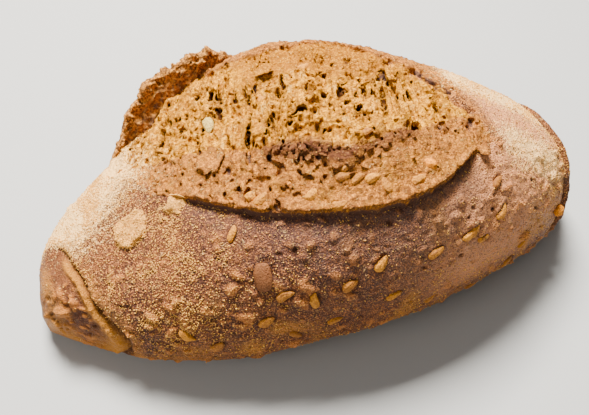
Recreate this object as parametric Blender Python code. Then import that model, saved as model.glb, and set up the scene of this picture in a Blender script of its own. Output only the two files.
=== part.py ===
"""Durum wheat loaf: a pointed oval loaf, torn open along the top, with one lifted ear of crust.

The loaf is one closed solid. It lies along X, its torn top faces up, and its underside rests on Z = 0.
Every length is in metres. "Along" is an angle that runs from the left tip (0) to the right tip (pi),
and "around" is an angle in the cross-section, from the back (0) over the top (pi / 2) to the front (pi).
"""
import itertools
import math

import bmesh
import bpy
import numpy as np
from mathutils import Matrix, Vector

# Driving dimensions of the whole loaf, each row read at five even steps from the left tip to the right
LENGTH = 0.280
FRONT = (0.020, 0.054, 0.063, 0.060, 0.066)
BACK = (0.080, 0.083, 0.092, 0.062, 0.060)
HEIGHT = (0.105, 0.073, 0.105, 0.104, 0.120)
LEFT_TIP_Y = 0.009
RIGHT_TIP_Y = -0.014

# Shape of the cross-section and the ends
WIDEST_AT = 0.40
SHOULDER_SQUARENESS = 0.85
BELLY_SQUARENESS = 0.70
FLAT_SPOT_SINK = 0.004
END_LIFT = 0.006

# Mesh of the body: rings along the loaf, and points over its top and under its belly
RINGS = 84
TOP_POINTS = 43
BELLY_POINTS = 11
TIP_ANGLE = 0.11

# The lip, where the front crust stops under the stretched skin, read at five even steps between its ends
LIP_X = (-0.074, 0.062)
LIP_Y = (0.014, -0.024, -0.043, -0.047, -0.034)
LIP_DROP = 0.0036
LIP_CREST = 0.0012
LIP_STEP = 0.0022

# The torn crumb: its front and back edges at five even steps, and the crack that ends it on the right
TEAR_X = (-0.084, 0.072)
TEAR_FRONT_Y = (0.043, 0.012, -0.022, -0.024, -0.018)
TEAR_BACK_Y = (0.052, 0.070, 0.054, 0.043, 0.010)
TEAR_SINK = 0.0018
CRACK_BACK = (0.049, 0.014)
CRACK_FRONT = (0.068, -0.022)
CRACK_DEPTH = 0.0065
CRACK_RADIUS = 0.0032
SHRED_LEFT = (-0.026, -0.006)
SHRED_RIGHT = (-0.003, -0.025)
SHRED_HEIGHT = 0.0026
SHRED_RADIUS = 0.0045

# The tucked tail on the left, and the tucked end on the right
TAIL_FOLD_X = -0.117
TAIL_FOLD_SLANT = -0.18
TAIL_FOLD_DEPTH = 0.0045
END_FOLD_REACH = 0.1256
END_FOLD_SLANT = 0.29
END_FOLD_DEPTH = 0.0030

# The ear: a wall of back crust that stands clear of the crumb, read at five even steps along X
EAR_X = (-0.088, -0.008)
EAR_RIM_Z = (0.038, 0.069, 0.081, 0.084, 0.078)
EAR_INSET = (0.002, 0.003, 0.004, 0.009, 0.013)
EAR_FOOT_DROP = 0.036
EAR_FOOT_INSET = 0.009
EAR_RIM_THICKNESS = 0.0055
EAR_FOOT_THICKNESS = 0.013
EAR_STATIONS = 26
EAR_KNOB_X = -0.025
EAR_KNOB_HEIGHT = 0.006
EAR_KNOB_WIDTH = 0.0025

# Seeds baked into the crust: length, width and thickness of each kind
SUNFLOWER = (0.0085, 0.0046, 0.0034)
PUMPKIN = (0.0130, 0.0080, 0.0032)
PEA = (0.0052, 0.0052, 0.0048)
SEED_PROUD = 0.0006

# Seeds that show, set by hand: kind, X, degrees around the section, and turn on the crust in degrees
SHOWN_SEEDS = (
    (PUMPKIN, -0.046, 144, 60),
    (PUMPKIN, -0.043, 80, 75),
    (SUNFLOWER, -0.040, 156, 10),
    (SUNFLOWER, -0.014, 162, 35),
    (SUNFLOWER, 0.000, 157, 60),
    (SUNFLOWER, -0.081, 164, -35),
    (SUNFLOWER, -0.070, 176, 40),
    (SUNFLOWER, -0.049, 167, 20),
    (SUNFLOWER, -0.029, 163, 80),
    (SUNFLOWER, 0.005, 174, 15),
    (SUNFLOWER, 0.025, 160, 25),
    (SUNFLOWER, 0.045, 155, 75),
    (SUNFLOWER, 0.061, 151, 45),
    (SUNFLOWER, 0.080, 176, 35),
    (SUNFLOWER, -0.039, 113, 5),
    (SUNFLOWER, -0.018, 123, 0),
    (SUNFLOWER, 0.006, 125, 15),
    (PEA, 0.108, 168, 0),
)

# Seeds on the sides that lie hidden, scattered by rule
HIDDEN_SEED_COUNT = 16
HIDDEN_SEED_ALONG = (35, 150)
HIDDEN_SEED_AROUND = (-15, 32)

CRUST_COLOR = (0.26, 0.11, 0.045, 1.0)
CRUST_ROUGHNESS = 0.75


def read_steps(values, place):
    """Read a smooth curve through evenly spaced values, at places between 0 and 1."""
    row = np.asarray(values)
    row = np.concatenate(([2 * row[0] - row[1]], row, [2 * row[-1] - row[-2]]))
    step = np.clip(np.asarray(place, dtype=float), 0, 1) * (len(values) - 1)
    first = np.clip(step.astype(int), 0, len(values) - 2)
    part = step - first
    before, start, end, after = row[first], row[first + 1], row[first + 2], row[first + 3]
    slope = (end - before) * part
    bend = (2 * before - 5 * start + 4 * end - after) * part**2
    twist = (3 * start - before - 3 * end + after) * part**3
    return start + 0.5 * (slope + bend + twist)


def read_between(values, limits, x):
    """Read a row of values that spans the X limits."""
    return read_steps(values, (x - limits[0]) / (limits[1] - limits[0]))


def ease(low, high, value):
    """Rise smoothly from 0 at low to 1 at high."""
    part = np.clip((value - low) / (high - low), 0, 1)
    return part * part * (3 - 2 * part)


def bumps(points, grain, seed):
    """Smooth bumps between -1 and 1, about one grain apart."""
    table = np.random.default_rng(seed).uniform(-1, 1, (32, 32, 32))
    cell = np.floor(points / grain).astype(int)
    part = points / grain - cell
    part = part * part * (3 - 2 * part)
    total = 0
    for corner in itertools.product((0, 1), repeat=3):
        weight = np.prod(np.where(corner, part, 1 - part), axis=-1)
        i, j, k = np.moveaxis((cell + corner) % 32, -1, 0)
        total = total + weight * table[i, j, k]
    return total


def side_edges(along):
    """Y of the front and back edges of the plan."""
    middle = LEFT_TIP_Y + (RIGHT_TIP_Y - LEFT_TIP_Y) * (1 - np.cos(along)) / 2
    width = np.sin(along)
    front = middle - width * read_steps(FRONT, along / np.pi)
    back = middle + width * read_steps(BACK, along / np.pi)
    return front, back


def smooth_loaf(along, around):
    """A point of the loaf before it tore: a squared oval section, flat below and lifted at the ends."""
    front, back = side_edges(along)
    top = read_steps(HEIGHT, along / np.pi) * np.sin(along) ** 0.85
    belly = WIDEST_AT * top
    level, rise = np.cos(around), np.sin(around)
    upper = rise > 0
    squareness = np.where(upper, SHOULDER_SQUARENESS, BELLY_SQUARENESS)
    y = (front + back) / 2 + (back - front) / 2 * np.sign(level) * np.abs(level) ** squareness
    dome = belly + (top - belly) * np.abs(rise) ** 0.92
    bowl = belly - (belly + FLAT_SPOT_SINK) * np.abs(rise) ** 0.8
    z = np.maximum(np.where(upper, dome, bowl), 0)
    z = z + END_LIFT * np.abs(np.cos(along)) ** 8 * np.where(upper, 1 - np.abs(rise), 1)
    return np.stack([-LENGTH / 2 * np.cos(along), y, z], axis=-1)


def outward(along, around):
    """The outward direction of the smooth loaf."""
    tiny = 1e-3
    down_length = smooth_loaf(along + tiny, around) - smooth_loaf(along - tiny, around)
    round_section = smooth_loaf(along, around + tiny) - smooth_loaf(along, around - tiny)
    normal = np.cross(round_section, down_length)
    return normal / (np.linalg.norm(normal, axis=-1, keepdims=True) + 1e-12)


def ridge_along(x, y, start, end, radius):
    """1 on the line from start to end in plan, falling to 0 a few radii away."""
    run = np.subtract(end, start)
    place = np.clip(((x - start[0]) * run[0] + (y - start[1]) * run[1]) / run.dot(run), 0, 1)
    away = np.hypot(x - start[0] - place * run[0], y - start[1] - place * run[1])
    return np.exp(-((away / radius) ** 2))


def lip_relief(x, y):
    """The front crust drops away below the lip, and the stretched skin curls up a little behind it."""
    behind = y - read_between(LIP_Y, LIP_X, x)
    shown = ease(-0.080, -0.060, x) * (1 - ease(0.055, 0.072, x))
    crest = LIP_CREST * np.exp(-np.abs(behind) / 0.008)
    drop = -LIP_DROP * np.exp(-np.abs(behind) / 0.010)
    return shown * (drop + (crest - drop) * ease(-LIP_STEP, LIP_STEP, behind))


def tear_amount(x, y):
    """1 where the crumb is torn open, 0 on the skin and the crust."""
    from_front = ease(-0.003, 0.005, y - read_between(TEAR_FRONT_Y, TEAR_X, x))
    from_back = ease(-0.003, 0.005, read_between(TEAR_BACK_Y, TEAR_X, x) - y)
    crack_slant = (CRACK_FRONT[0] - CRACK_BACK[0]) / (CRACK_FRONT[1] - CRACK_BACK[1])
    crack_x = CRACK_BACK[0] + crack_slant * (y - CRACK_BACK[1])
    return from_front * from_back * ease(-0.092, -0.078, x) * (1 - ease(-0.004, 0.002, x - crack_x))


def top_relief(points):
    """Height of the lip, the rough crumb, its crack and its shredded ridge, on the upper side."""
    x, y = points[..., 0], points[..., 1]
    tear = tear_amount(x, y)
    rough = 0.0024 * bumps(points, 0.013, 3) + 0.0013 * bumps(points, 0.006, 4)
    height = lip_relief(x, y) + tear * (rough - TEAR_SINK)
    height = height - CRACK_DEPTH * ridge_along(x, y, CRACK_BACK, CRACK_FRONT, CRACK_RADIUS)
    return height + SHRED_HEIGHT * ridge_along(x, y, SHRED_LEFT, SHRED_RIGHT, SHRED_RADIUS)


def fold_relief(points):
    """The creases at both ends, where the dough was tucked: a sharp valley beside a soft roll."""
    x, y, z = points[..., 0], points[..., 1], points[..., 2]
    tail = x - TAIL_FOLD_X - TAIL_FOLD_SLANT * y
    tail_side = np.where(tail < 0, np.exp(tail / 0.007), np.exp(-tail / 0.002))
    tail_shown = 1 - ease(0.016, 0.034, y)
    end = END_FOLD_REACH - x - END_FOLD_SLANT * z
    end_side = np.where(end < 0, np.exp(end / 0.006), np.exp(-end / 0.0015))
    end_shown = ease(0.092, 0.100, x) * (1 - ease(-0.020, 0.005, y))
    return -TAIL_FOLD_DEPTH * tail_side * tail_shown - END_FOLD_DEPTH * end_side * end_shown


def loaf_surface(along, around):
    """A point of the finished crust and crumb."""
    point = smooth_loaf(along, around)
    height = 0.0009 * bumps(point, 0.028, 1) + 0.0005 * bumps(point, 0.011, 2)
    height = height + top_relief(point) * ease(-0.1, 0.5, np.sin(around)) + fold_relief(point)
    height = height * ease(0.002, 0.014, point[..., 2]) * ease(0, 0.25, np.sin(along))
    return point + outward(along, around) * height[..., None]


def new_object(name, mesh_data):
    """Put a bmesh into the scene as an object."""
    mesh = bpy.data.meshes.new(name)
    mesh_data.to_mesh(mesh)
    mesh_data.free()
    thing = bpy.data.objects.new(name, mesh)
    bpy.context.collection.objects.link(thing)
    return thing


def bridge_rings(mesh_data, rings):
    """Join neighbouring rings of points with faces."""
    for ring, following in zip(rings, rings[1:]):
        for i in range(len(ring)):
            j = (i + 1) % len(ring)
            mesh_data.faces.new((ring[i], ring[j], following[j], following[i]))


def finish_faces(mesh_data):
    """Turn all faces outward and cut them into triangles."""
    bmesh.ops.recalc_face_normals(mesh_data, faces=mesh_data.faces)
    bmesh.ops.triangulate(mesh_data, faces=mesh_data.faces)


def make_body():
    """Loft the loaf from rings, closed by one point at each tip."""
    over_top = np.linspace(-0.25, np.pi + 0.25, TOP_POINTS, endpoint=False)
    under_belly = np.linspace(np.pi + 0.25, 2 * np.pi - 0.25, BELLY_POINTS, endpoint=False)
    around = np.concatenate((over_top, under_belly))
    along = np.linspace(TIP_ANGLE, np.pi - TIP_ANGLE, RINGS)
    points = loaf_surface(*np.meshgrid(along, around, indexing="ij"))
    body = bmesh.new()
    rings = [[body.verts.new(point) for point in ring] for ring in points]
    bridge_rings(body, rings)
    for ring, ring_points, end in ((rings[0], points[0], -1), (rings[-1], points[-1], 1)):
        tip_y, tip_z = ring_points[:, 1:].mean(axis=0)
        tip = body.verts.new((end * LENGTH / 2, tip_y, tip_z))
        for i, corner in enumerate(ring):
            body.faces.new((corner, ring[i - 1], tip))
    finish_faces(body)
    return new_object("loaf", body)


def ear_section(place):
    """One section of the ear: outer side, ragged rim and knobbly inner side."""
    x = EAR_X[0] + (EAR_X[1] - EAR_X[0]) * place
    back_y = side_edges(math.acos(-2 * x / LENGTH))[1]
    spot = np.array((x, 0.0, 0.0))
    rim_z = read_steps(EAR_RIM_Z, place) + 0.0016 * bumps(spot, 0.005, 7)
    rim_z += EAR_KNOB_HEIGHT * math.exp(-(((x - EAR_KNOB_X) / EAR_KNOB_WIDTH) ** 2))
    rim_y = back_y - read_steps(EAR_INSET, place)
    foot_z = rim_z - EAR_FOOT_DROP
    foot_y = back_y - EAR_FOOT_INSET
    middle_y = (rim_y + foot_y) / 2 + 0.002
    middle_z = (rim_z + foot_z) / 2
    knob = 0.0016 * bumps(spot, 0.007, 8)
    waist = (EAR_RIM_THICKNESS + EAR_FOOT_THICKNESS) / 2
    return (
        (x, foot_y, foot_z),
        (x, middle_y, middle_z),
        (x, rim_y, rim_z - 0.002),
        (x, rim_y - EAR_RIM_THICKNESS / 2, rim_z),
        (x, rim_y - EAR_RIM_THICKNESS, rim_z - 0.003),
        (x, middle_y - waist - knob, middle_z),
        (x, foot_y - EAR_FOOT_THICKNESS, foot_z),
    )


def make_ear():
    """Loft the ear from its sections and cap both ends."""
    ear = bmesh.new()
    places = np.linspace(0, 1, EAR_STATIONS)
    rings = [[ear.verts.new(point) for point in ear_section(place)] for place in places]
    bridge_rings(ear, rings)
    ear.faces.new(rings[0])
    ear.faces.new(rings[-1])
    finish_faces(ear)
    return new_object("ear", ear)


def make_seed(name, size, along, around, turn):
    """A small ellipsoid, turned on the crust and sunk to about half its thickness."""
    place = Vector(loaf_surface(np.array(along), np.array(around)))
    normal = Vector(outward(np.array(along), np.array(around)))
    side = Vector((1, 0, 0)).cross(normal).normalized()
    lengthwise = normal.cross(side)
    frame = Matrix((lengthwise, -side, normal)).transposed().to_4x4()
    half_sizes = Matrix.Diagonal([measure / 2 for measure in size] + [1])
    lie = Matrix.Translation(place + normal * SEED_PROUD) @ frame @ Matrix.Rotation(turn, 4, "Z")
    seed = bmesh.new()
    bmesh.ops.create_uvsphere(seed, u_segments=5, v_segments=4, radius=1, matrix=lie @ half_sizes)
    finish_faces(seed)
    return new_object(name, seed)


def make_seeds():
    """The seeds that show, by hand, and those of the hidden side, by a seeded draw."""
    seeds = []
    for i, (size, x, around, turn) in enumerate(SHOWN_SEEDS):
        along = math.acos(-2 * x / LENGTH)
        seeds.append(make_seed(f"seed_{i}", size, along, math.radians(around), math.radians(turn)))
    draw = np.random.default_rng(11)
    for i in range(HIDDEN_SEED_COUNT):
        share = (i + draw.uniform(0.2, 0.8)) / HIDDEN_SEED_COUNT
        along = math.radians(HIDDEN_SEED_ALONG[0] + (HIDDEN_SEED_ALONG[1] - HIDDEN_SEED_ALONG[0]) * share)
        around = math.radians(draw.uniform(*HIDDEN_SEED_AROUND))
        turn = draw.uniform(0, math.pi)
        seeds.append(make_seed(f"hidden_seed_{i}", SUNFLOWER, along, around, turn))
    return seeds


def join_into(body, pieces):
    """Fuse the pieces to the body with one Boolean union, then remove them."""
    toppings = bpy.data.collections.new("toppings")
    bpy.context.scene.collection.children.link(toppings)
    for piece in pieces:
        bpy.context.collection.objects.unlink(piece)
        toppings.objects.link(piece)
    union = body.modifiers.new("union", "BOOLEAN")
    union.operation = "UNION"
    union.operand_type = "COLLECTION"
    union.collection = toppings
    union.solver = "EXACT"
    bpy.context.view_layer.objects.active = body
    bpy.ops.object.modifier_apply(modifier=union.name)
    for piece in pieces:
        bpy.data.objects.remove(piece)
    bpy.data.collections.remove(toppings)


def crust_material():
    """Plain browned crust."""
    material = bpy.data.materials.new("crust")
    material.use_nodes = True
    shader = material.node_tree.nodes["Principled BSDF"]
    shader.inputs["Base Color"].default_value = CRUST_COLOR
    shader.inputs["Roughness"].default_value = CRUST_ROUGHNESS
    shader.inputs["Metallic"].default_value = 0.0
    return material


for old in list(bpy.data.objects):
    bpy.data.objects.remove(old)

loaf = make_body()
join_into(loaf, [make_ear()] + make_seeds())
loaf.data.materials.clear()
loaf.data.materials.append(crust_material())
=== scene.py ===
# %% [markdown]
# # A durum wheat loaf
#
# A pointed oval loaf that has torn open along its top. Its front is dark crust, its ends are
# floured, and behind a sharp lip the stretched skin gives way to rough golden crumb. The packed
# solid gives the size and the place of everything; this script makes the surface that shows.

# %% The frame
import itertools
import math

import bpy
import numpy as np
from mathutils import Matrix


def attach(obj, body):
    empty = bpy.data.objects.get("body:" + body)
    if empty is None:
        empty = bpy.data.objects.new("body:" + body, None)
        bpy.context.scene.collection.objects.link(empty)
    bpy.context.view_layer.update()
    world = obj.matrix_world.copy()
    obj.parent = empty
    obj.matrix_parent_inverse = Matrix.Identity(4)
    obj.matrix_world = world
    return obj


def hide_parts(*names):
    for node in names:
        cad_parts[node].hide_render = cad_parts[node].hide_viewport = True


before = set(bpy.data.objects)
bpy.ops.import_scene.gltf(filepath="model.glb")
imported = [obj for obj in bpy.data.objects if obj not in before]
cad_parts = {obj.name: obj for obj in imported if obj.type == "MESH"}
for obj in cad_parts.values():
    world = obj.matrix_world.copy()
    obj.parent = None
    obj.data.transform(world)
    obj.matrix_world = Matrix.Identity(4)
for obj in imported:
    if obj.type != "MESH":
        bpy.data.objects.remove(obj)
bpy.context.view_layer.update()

import openvdb
from mathutils import Vector

MM = 0.001

# %% [markdown]
# ## The camera, the floor and the light
#
# The loaf is seen from its front left, from about fifty degrees above. A phone's lens sees wide
# and close, so a 40 mm lens stands about 32 cm away. The light is a wide soft panel above and
# behind the loaf, which lets the top glow and the front fall into shade, as in a kitchen.

# %% The camera
VIEW_AZIMUTH = math.radians(-24)
VIEW_ELEVATION = math.radians(50)
VIEW_DISTANCE = 0.317
VIEW_TARGET = Vector((-0.0123, 0, 0.045))

toward_camera = Vector((
    math.sin(VIEW_AZIMUTH) * math.cos(VIEW_ELEVATION),
    -math.cos(VIEW_AZIMUTH) * math.cos(VIEW_ELEVATION),
    math.sin(VIEW_ELEVATION),
))
camera = bpy.data.objects.new("camera", bpy.data.cameras.new("camera"))
camera.data.lens = 40
camera.data.sensor_width = 36
camera.location = VIEW_TARGET + toward_camera * VIEW_DISTANCE
camera.rotation_euler = toward_camera.to_track_quat("Z", "Y").to_euler()
bpy.context.collection.objects.link(camera)
bpy.context.scene.camera = camera
print("The camera stands", round(VIEW_DISTANCE / MM), "mm from the loaf's middle")

# %% The floor
FLOOR_HALF = 3.0
FLOOR_GREY = (0.37, 0.37, 0.36, 1)

floor_mesh = bpy.data.meshes.new("floor")
corners = [(-FLOOR_HALF, -FLOOR_HALF, 0), (FLOOR_HALF, -FLOOR_HALF, 0),
           (FLOOR_HALF, FLOOR_HALF, 0), (-FLOOR_HALF, FLOOR_HALF, 0)]
floor_mesh.from_pydata(corners, [], [(0, 1, 2, 3)])
floor = bpy.data.objects.new("floor", floor_mesh)
bpy.context.collection.objects.link(floor)
floor_finish = bpy.data.materials.new("floor")
floor_finish.use_nodes = True
floor_shader = floor_finish.node_tree.nodes["Principled BSDF"]
floor_shader.inputs["Base Color"].default_value = FLOOR_GREY
floor_shader.inputs["Roughness"].default_value = 0.8
floor_mesh.materials.append(floor_finish)
print("The floor is", 2 * FLOOR_HALF, "m wide")

# %% The light
def soft_panel(name, place, aim, size, power, color):
    """A square area light that points at a place."""
    light = bpy.data.objects.new(name, bpy.data.lights.new(name, "AREA"))
    light.data.size = size
    light.data.energy = power
    light.data.color = color
    light.location = place
    light.rotation_euler = (Vector(aim) - Vector(place)).to_track_quat("-Z", "Y").to_euler()
    bpy.context.collection.objects.link(light)


soft_panel("ceiling", (0.02, 0.42, 1.0), (0, 0, 0.05), 0.36, 70, (1.0, 0.96, 0.90))
soft_panel("left_fill", (-0.9, -0.3, 0.7), (0, 0, 0.05), 0.6, 5.0, (1.0, 0.96, 0.92))
world = bpy.data.worlds.new("room")
world.use_nodes = True
world.node_tree.nodes["Background"].inputs["Color"].default_value = (1.0, 0.98, 0.96, 1)
world.node_tree.nodes["Background"].inputs["Strength"].default_value = 0.27
bpy.context.scene.world = world
print("Two soft panels and a faint even light are set")

# %% [markdown]
# ## The form of the loaf
#
# The dough was rolled to a point at both ends, so its section is a squared oval whose width and
# height change along the loaf. Five named values, evenly spaced from the left tip to the right
# one, are enough for each. "Along" is an angle from the left tip (0) to the right tip (pi), and
# "around" is an angle in the section, from the back (0) over the top to the front (pi). These
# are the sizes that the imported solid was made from, read here on a much finer net.

# %% The loaf's own sizes
LENGTH = 0.280
FRONT = (0.020, 0.054, 0.063, 0.060, 0.066)
BACK = (0.080, 0.083, 0.092, 0.062, 0.060)
HEIGHT = (0.105, 0.073, 0.105, 0.104, 0.120)
LEFT_TIP_Y = 0.009
RIGHT_TIP_Y = -0.014
WIDEST_AT = 0.40
SHOULDER_SQUARENESS = 0.85
DOME_SQUARENESS = 0.92
BELLY_SQUARENESS = 0.70
UNDERSIDE_SQUARENESS = 0.80
END_BLUNTNESS = 0.85
FLAT_SPOT_SINK = 0.004
END_LIFT = 0.006
END_LIFT_POWER = 8
print("The loaf is", LENGTH / MM, "mm long")


# %% Reading smooth curves
def read_steps(values, place):
    """Read a smooth curve through evenly spaced values, at places between 0 and 1."""
    row = np.asarray(values)
    row = np.concatenate(([2 * row[0] - row[1]], row, [2 * row[-1] - row[-2]]))
    step = np.clip(np.asarray(place, dtype=float), 0, 1) * (len(values) - 1)
    first = np.clip(step.astype(int), 0, len(values) - 2)
    part = step - first
    before, start, end, after = row[first], row[first + 1], row[first + 2], row[first + 3]
    slope = (end - before) * part
    bend = (2 * before - 5 * start + 4 * end - after) * part**2
    twist = (3 * start - before - 3 * end + after) * part**3
    return start + 0.5 * (slope + bend + twist)


def read_between(values, limits, x):
    """Read a row of values that spans the X limits."""
    return read_steps(values, (x - limits[0]) / (limits[1] - limits[0]))


print("Front half-width a third of the way along:", round(float(read_steps(FRONT, 1 / 3)) / MM, 1), "mm")


# %% The loaf before it tore
def side_edges(along):
    """Y of the front and back edges of the plan."""
    middle = LEFT_TIP_Y + (RIGHT_TIP_Y - LEFT_TIP_Y) * (1 - np.cos(along)) / 2
    width = np.sin(along)
    front = middle - width * read_steps(FRONT, along / np.pi)
    back = middle + width * read_steps(BACK, along / np.pi)
    return front, back


def top_height(along):
    """Height of the loaf's top before it tore."""
    return read_steps(HEIGHT, along / np.pi) * np.sin(along) ** END_BLUNTNESS


def smooth_loaf(along, around):
    """A point of the loaf before it tore: a squared oval section, flat below."""
    front, back = side_edges(along)
    top = top_height(along)
    belly = WIDEST_AT * top
    level, rise = np.cos(around), np.sin(around)
    upper = rise > 0
    squareness = np.where(upper, SHOULDER_SQUARENESS, BELLY_SQUARENESS)
    y = (front + back) / 2 + (back - front) / 2 * np.sign(level) * np.abs(level) ** squareness
    dome = belly + (top - belly) * np.abs(rise) ** DOME_SQUARENESS
    bowl = belly - (belly + FLAT_SPOT_SINK) * np.abs(rise) ** UNDERSIDE_SQUARENESS
    z = np.maximum(np.where(upper, dome, bowl), 0)
    lift = END_LIFT * np.abs(np.cos(along)) ** END_LIFT_POWER
    z = z + lift * np.where(upper, 1 - np.abs(rise), 1)
    return np.stack([-LENGTH / 2 * np.cos(along), y, z], axis=-1)


def outward(along, around):
    """The outward direction of the smooth loaf."""
    tiny = 1e-3
    lengthwise = smooth_loaf(along + tiny, around) - smooth_loaf(along - tiny, around)
    crosswise = smooth_loaf(along, around + tiny) - smooth_loaf(along, around - tiny)
    normal = np.cross(crosswise, lengthwise)
    return normal / (np.linalg.norm(normal, axis=-1, keepdims=True) + 1e-12)


def along_at(x):
    """The along angle of a place on the X axis."""
    return np.arccos(np.clip(-2 * np.asarray(x) / LENGTH, -1, 1))


print("The smooth loaf is", round(float(top_height(np.pi / 2)) / MM, 1), "mm high in the middle")

# %% [markdown]
# ## Bumps and soft masks
#
# Bread is uneven at every scale. Smooth random bumps on a grid of known size give that: the
# grain is a real distance, and the seed keeps every run the same. Masks that rise smoothly from
# 0 to 1 say where each kind of surface lies, both for the relief and, later, for the colours.

# %% Bumps and masks
def ease(low, high, value):
    """Rise smoothly from 0 at low to 1 at high."""
    part = np.clip((value - low) / (high - low), 0, 1)
    return part * part * (3 - 2 * part)


def bumps(points, grain, seed):
    """Smooth bumps between -1 and 1, about one grain apart."""
    table = np.random.default_rng(seed).uniform(-1, 1, (32, 32, 32))
    cell = np.floor(points / grain).astype(int)
    part = points / grain - cell
    part = part * part * (3 - 2 * part)
    total = 0
    for corner in itertools.product((0, 1), repeat=3):
        weight = np.prod(np.where(corner, part, 1 - part), axis=-1)
        i, j, k = np.moveaxis((cell + corner) % 32, -1, 0)
        total = total + weight * table[i, j, k]
    return total


def creases(points, grain, seed):
    """Sharp-topped ridges between 0 and 1."""
    return 1 - np.abs(bumps(points, grain, seed))


def from_line(x, y, start, end, radius):
    """1 on the line from start to end in plan, falling to 0 a few radii away."""
    run = np.subtract(end, start)
    place = np.clip(((x - start[0]) * run[0] + (y - start[1]) * run[1]) / run.dot(run), 0, 1)
    away = np.hypot(x - start[0] - place * run[0], y - start[1] - place * run[1])
    return np.exp(-((away / radius) ** 2))


def lines_amount(x, y, lines):
    """The sum of soft lines in plan, each with its two ends, its radius and its strength."""
    return sum(strength * from_line(x, y, start, end, radius) for start, end, radius, strength in lines)


print("Half way up, a mask reads", float(ease(0, 1, 0.5)))

# %% [markdown]
# ## Where the loaf tore
#
# The baker's cut opened in the oven. Seen from above, the front crust stops at a curved lip, a
# band of stretched skin lies behind it, and then the crumb is torn open as far as a crack on the
# right and the lifted ear at the back left. Each of these lines is a smooth row of five values.

# %% The lines of the tear
LIP_X = (-0.074, 0.062)
LIP_Y = (0.014, -0.024, -0.043, -0.047, -0.034)
LIP_DROP = 0.0036
LIP_DROP_REACH = 0.010
LIP_CREST = 0.0012
LIP_CREST_REACH = 0.006
TEAR_X = (-0.084, 0.072)
TEAR_FRONT_Y = (0.043, 0.012, -0.022, -0.024, -0.018)
TEAR_BACK_Y = (0.052, 0.070, 0.054, 0.043, 0.010)
TEAR_SINK = 0.0018
CRACK_BACK = (0.053, 0.010)
CRACK_FRONT = (0.072, -0.022)
CRACK_DEPTH = 0.0065
CRACK_RADIUS = 0.0032
SHRED_LEFT = (-0.026, -0.006)
SHRED_RIGHT = (-0.003, -0.025)
SHRED_HEIGHT = 0.0026
SHRED_RADIUS = 0.0045
EAR_X = (-0.088, -0.008)
EAR_RIM_Z = (0.038, 0.069, 0.081, 0.084, 0.078)
EAR_INSET = (0.002, 0.003, 0.004, 0.009, 0.013)


# %% Masks from the lines
def lip_y(x):
    """Y of the lip."""
    return read_between(LIP_Y, LIP_X, x)


def lip_shown(x):
    """1 along the lip, 0 past its ends."""
    return ease(-0.074, -0.058, x) * (1 - ease(0.048, 0.060, x))


def behind_crack(x, y):
    """How far a place lies to the right of the crack."""
    slant = (CRACK_FRONT[0] - CRACK_BACK[0]) / (CRACK_FRONT[1] - CRACK_BACK[1])
    return x - CRACK_BACK[0] - slant * (y - CRACK_BACK[1])


def tear_amount(points, ragged=0.0, spread=0.0):
    """1 where the crumb is torn open, 0 on the skin and the crust."""
    x, y = points[..., 0], points[..., 1]
    wander = ragged * bumps(points, 0.006, 21) + spread
    if ragged:
        wander = wander + 0.5 * ragged * bumps(points, 0.0022, 22)
    from_front = ease(-0.0015, 0.0025, y - read_between(TEAR_FRONT_Y, TEAR_X, x) + wander)
    back_y = read_between(TEAR_BACK_Y, TEAR_X, x)
    behind_gap = side_edges(along_at(x))[1] - 0.012
    back_y = np.where(x < -0.030, np.maximum(back_y, behind_gap), back_y)
    from_back = ease(-0.0015, 0.0025, back_y - y + wander)
    from_left = ease(-0.0935, -0.0895, x + wander)
    from_crack = ease(-0.0015, 0.0015, wander - behind_crack(x, y))
    return from_front * from_back * from_left * from_crack


def back_skin(x, y):
    """1 where the top behind the open crumb is closed and browned again."""
    return ease(-0.004, 0.006, y - 0.031 + 0.42 * (x + 0.010)) * ease(-0.026, -0.012, x)


def cover_amount(points):
    """1 where rough skin or crumb lies on the loaf, from the lip to the back."""
    x, y = points[..., 0], points[..., 1]
    wander = 0.0045 * bumps(points, 0.012, 23) + 0.0018 * bumps(points, 0.004, 24)
    ragged = 0.0006 * bumps(points, 0.003, 25)
    from_lip = ease(-0.0010, 0.0000, y - lip_y(x) + ragged)
    from_left = ease(-0.005, 0.005, x + 0.074 + 0.42 * (y - 0.012) + wander)
    from_right = ease(-0.007, 0.007, 0.070 - x + wander)
    behind_tear = read_between(TEAR_BACK_Y, TEAR_X, x) + 0.022
    back = np.minimum(behind_tear, side_edges(along_at(x))[1] - 0.010)
    from_back = ease(-0.006, 0.006, back - y + wander * (x > -0.020))
    return from_lip * from_left * from_right * from_back


print("Lip in the middle at Y", round(float(lip_y(0.0)) / MM, 1), "mm")

# %% [markdown]
# ## The crust
#
# The crust is one closed skin. A plain grid of points over the section would cut across the lip
# and leave its edge as a staircase, so the rows of this grid follow the lip instead: one set of
# rows ends on it from behind, the next set starts on it from the front, a few millimetres lower.
# That gives the crisp step that a baker's cut leaves. Most rows go to the front, where fine relief
# shows.

# %% Making a mesh piece
def new_piece(name, points, faces, amounts=()):
    """Make a smooth mesh; amounts are named numbers at its points, for the finish to read."""
    mesh = bpy.data.meshes.new(name)
    mesh.from_pydata(points, [], faces)
    mesh.shade_smooth()
    piece = bpy.data.objects.new(name, mesh)
    bpy.context.collection.objects.link(piece)
    for title, values in dict(amounts).items():
        keep_amount(piece, title, values)
    return piece


def keep_amount(piece, name, values):
    """Keep a named number at each point of a piece."""
    layer = piece.data.attributes.new(name, "FLOAT", "POINT")
    layer.data.foreach_set("value", np.asarray(values, dtype=np.float32).reshape(-1))


def triangle_count(piece):
    """How many triangles a piece has."""
    return sum(len(face.vertices) - 2 for face in piece.data.polygons)


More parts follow.
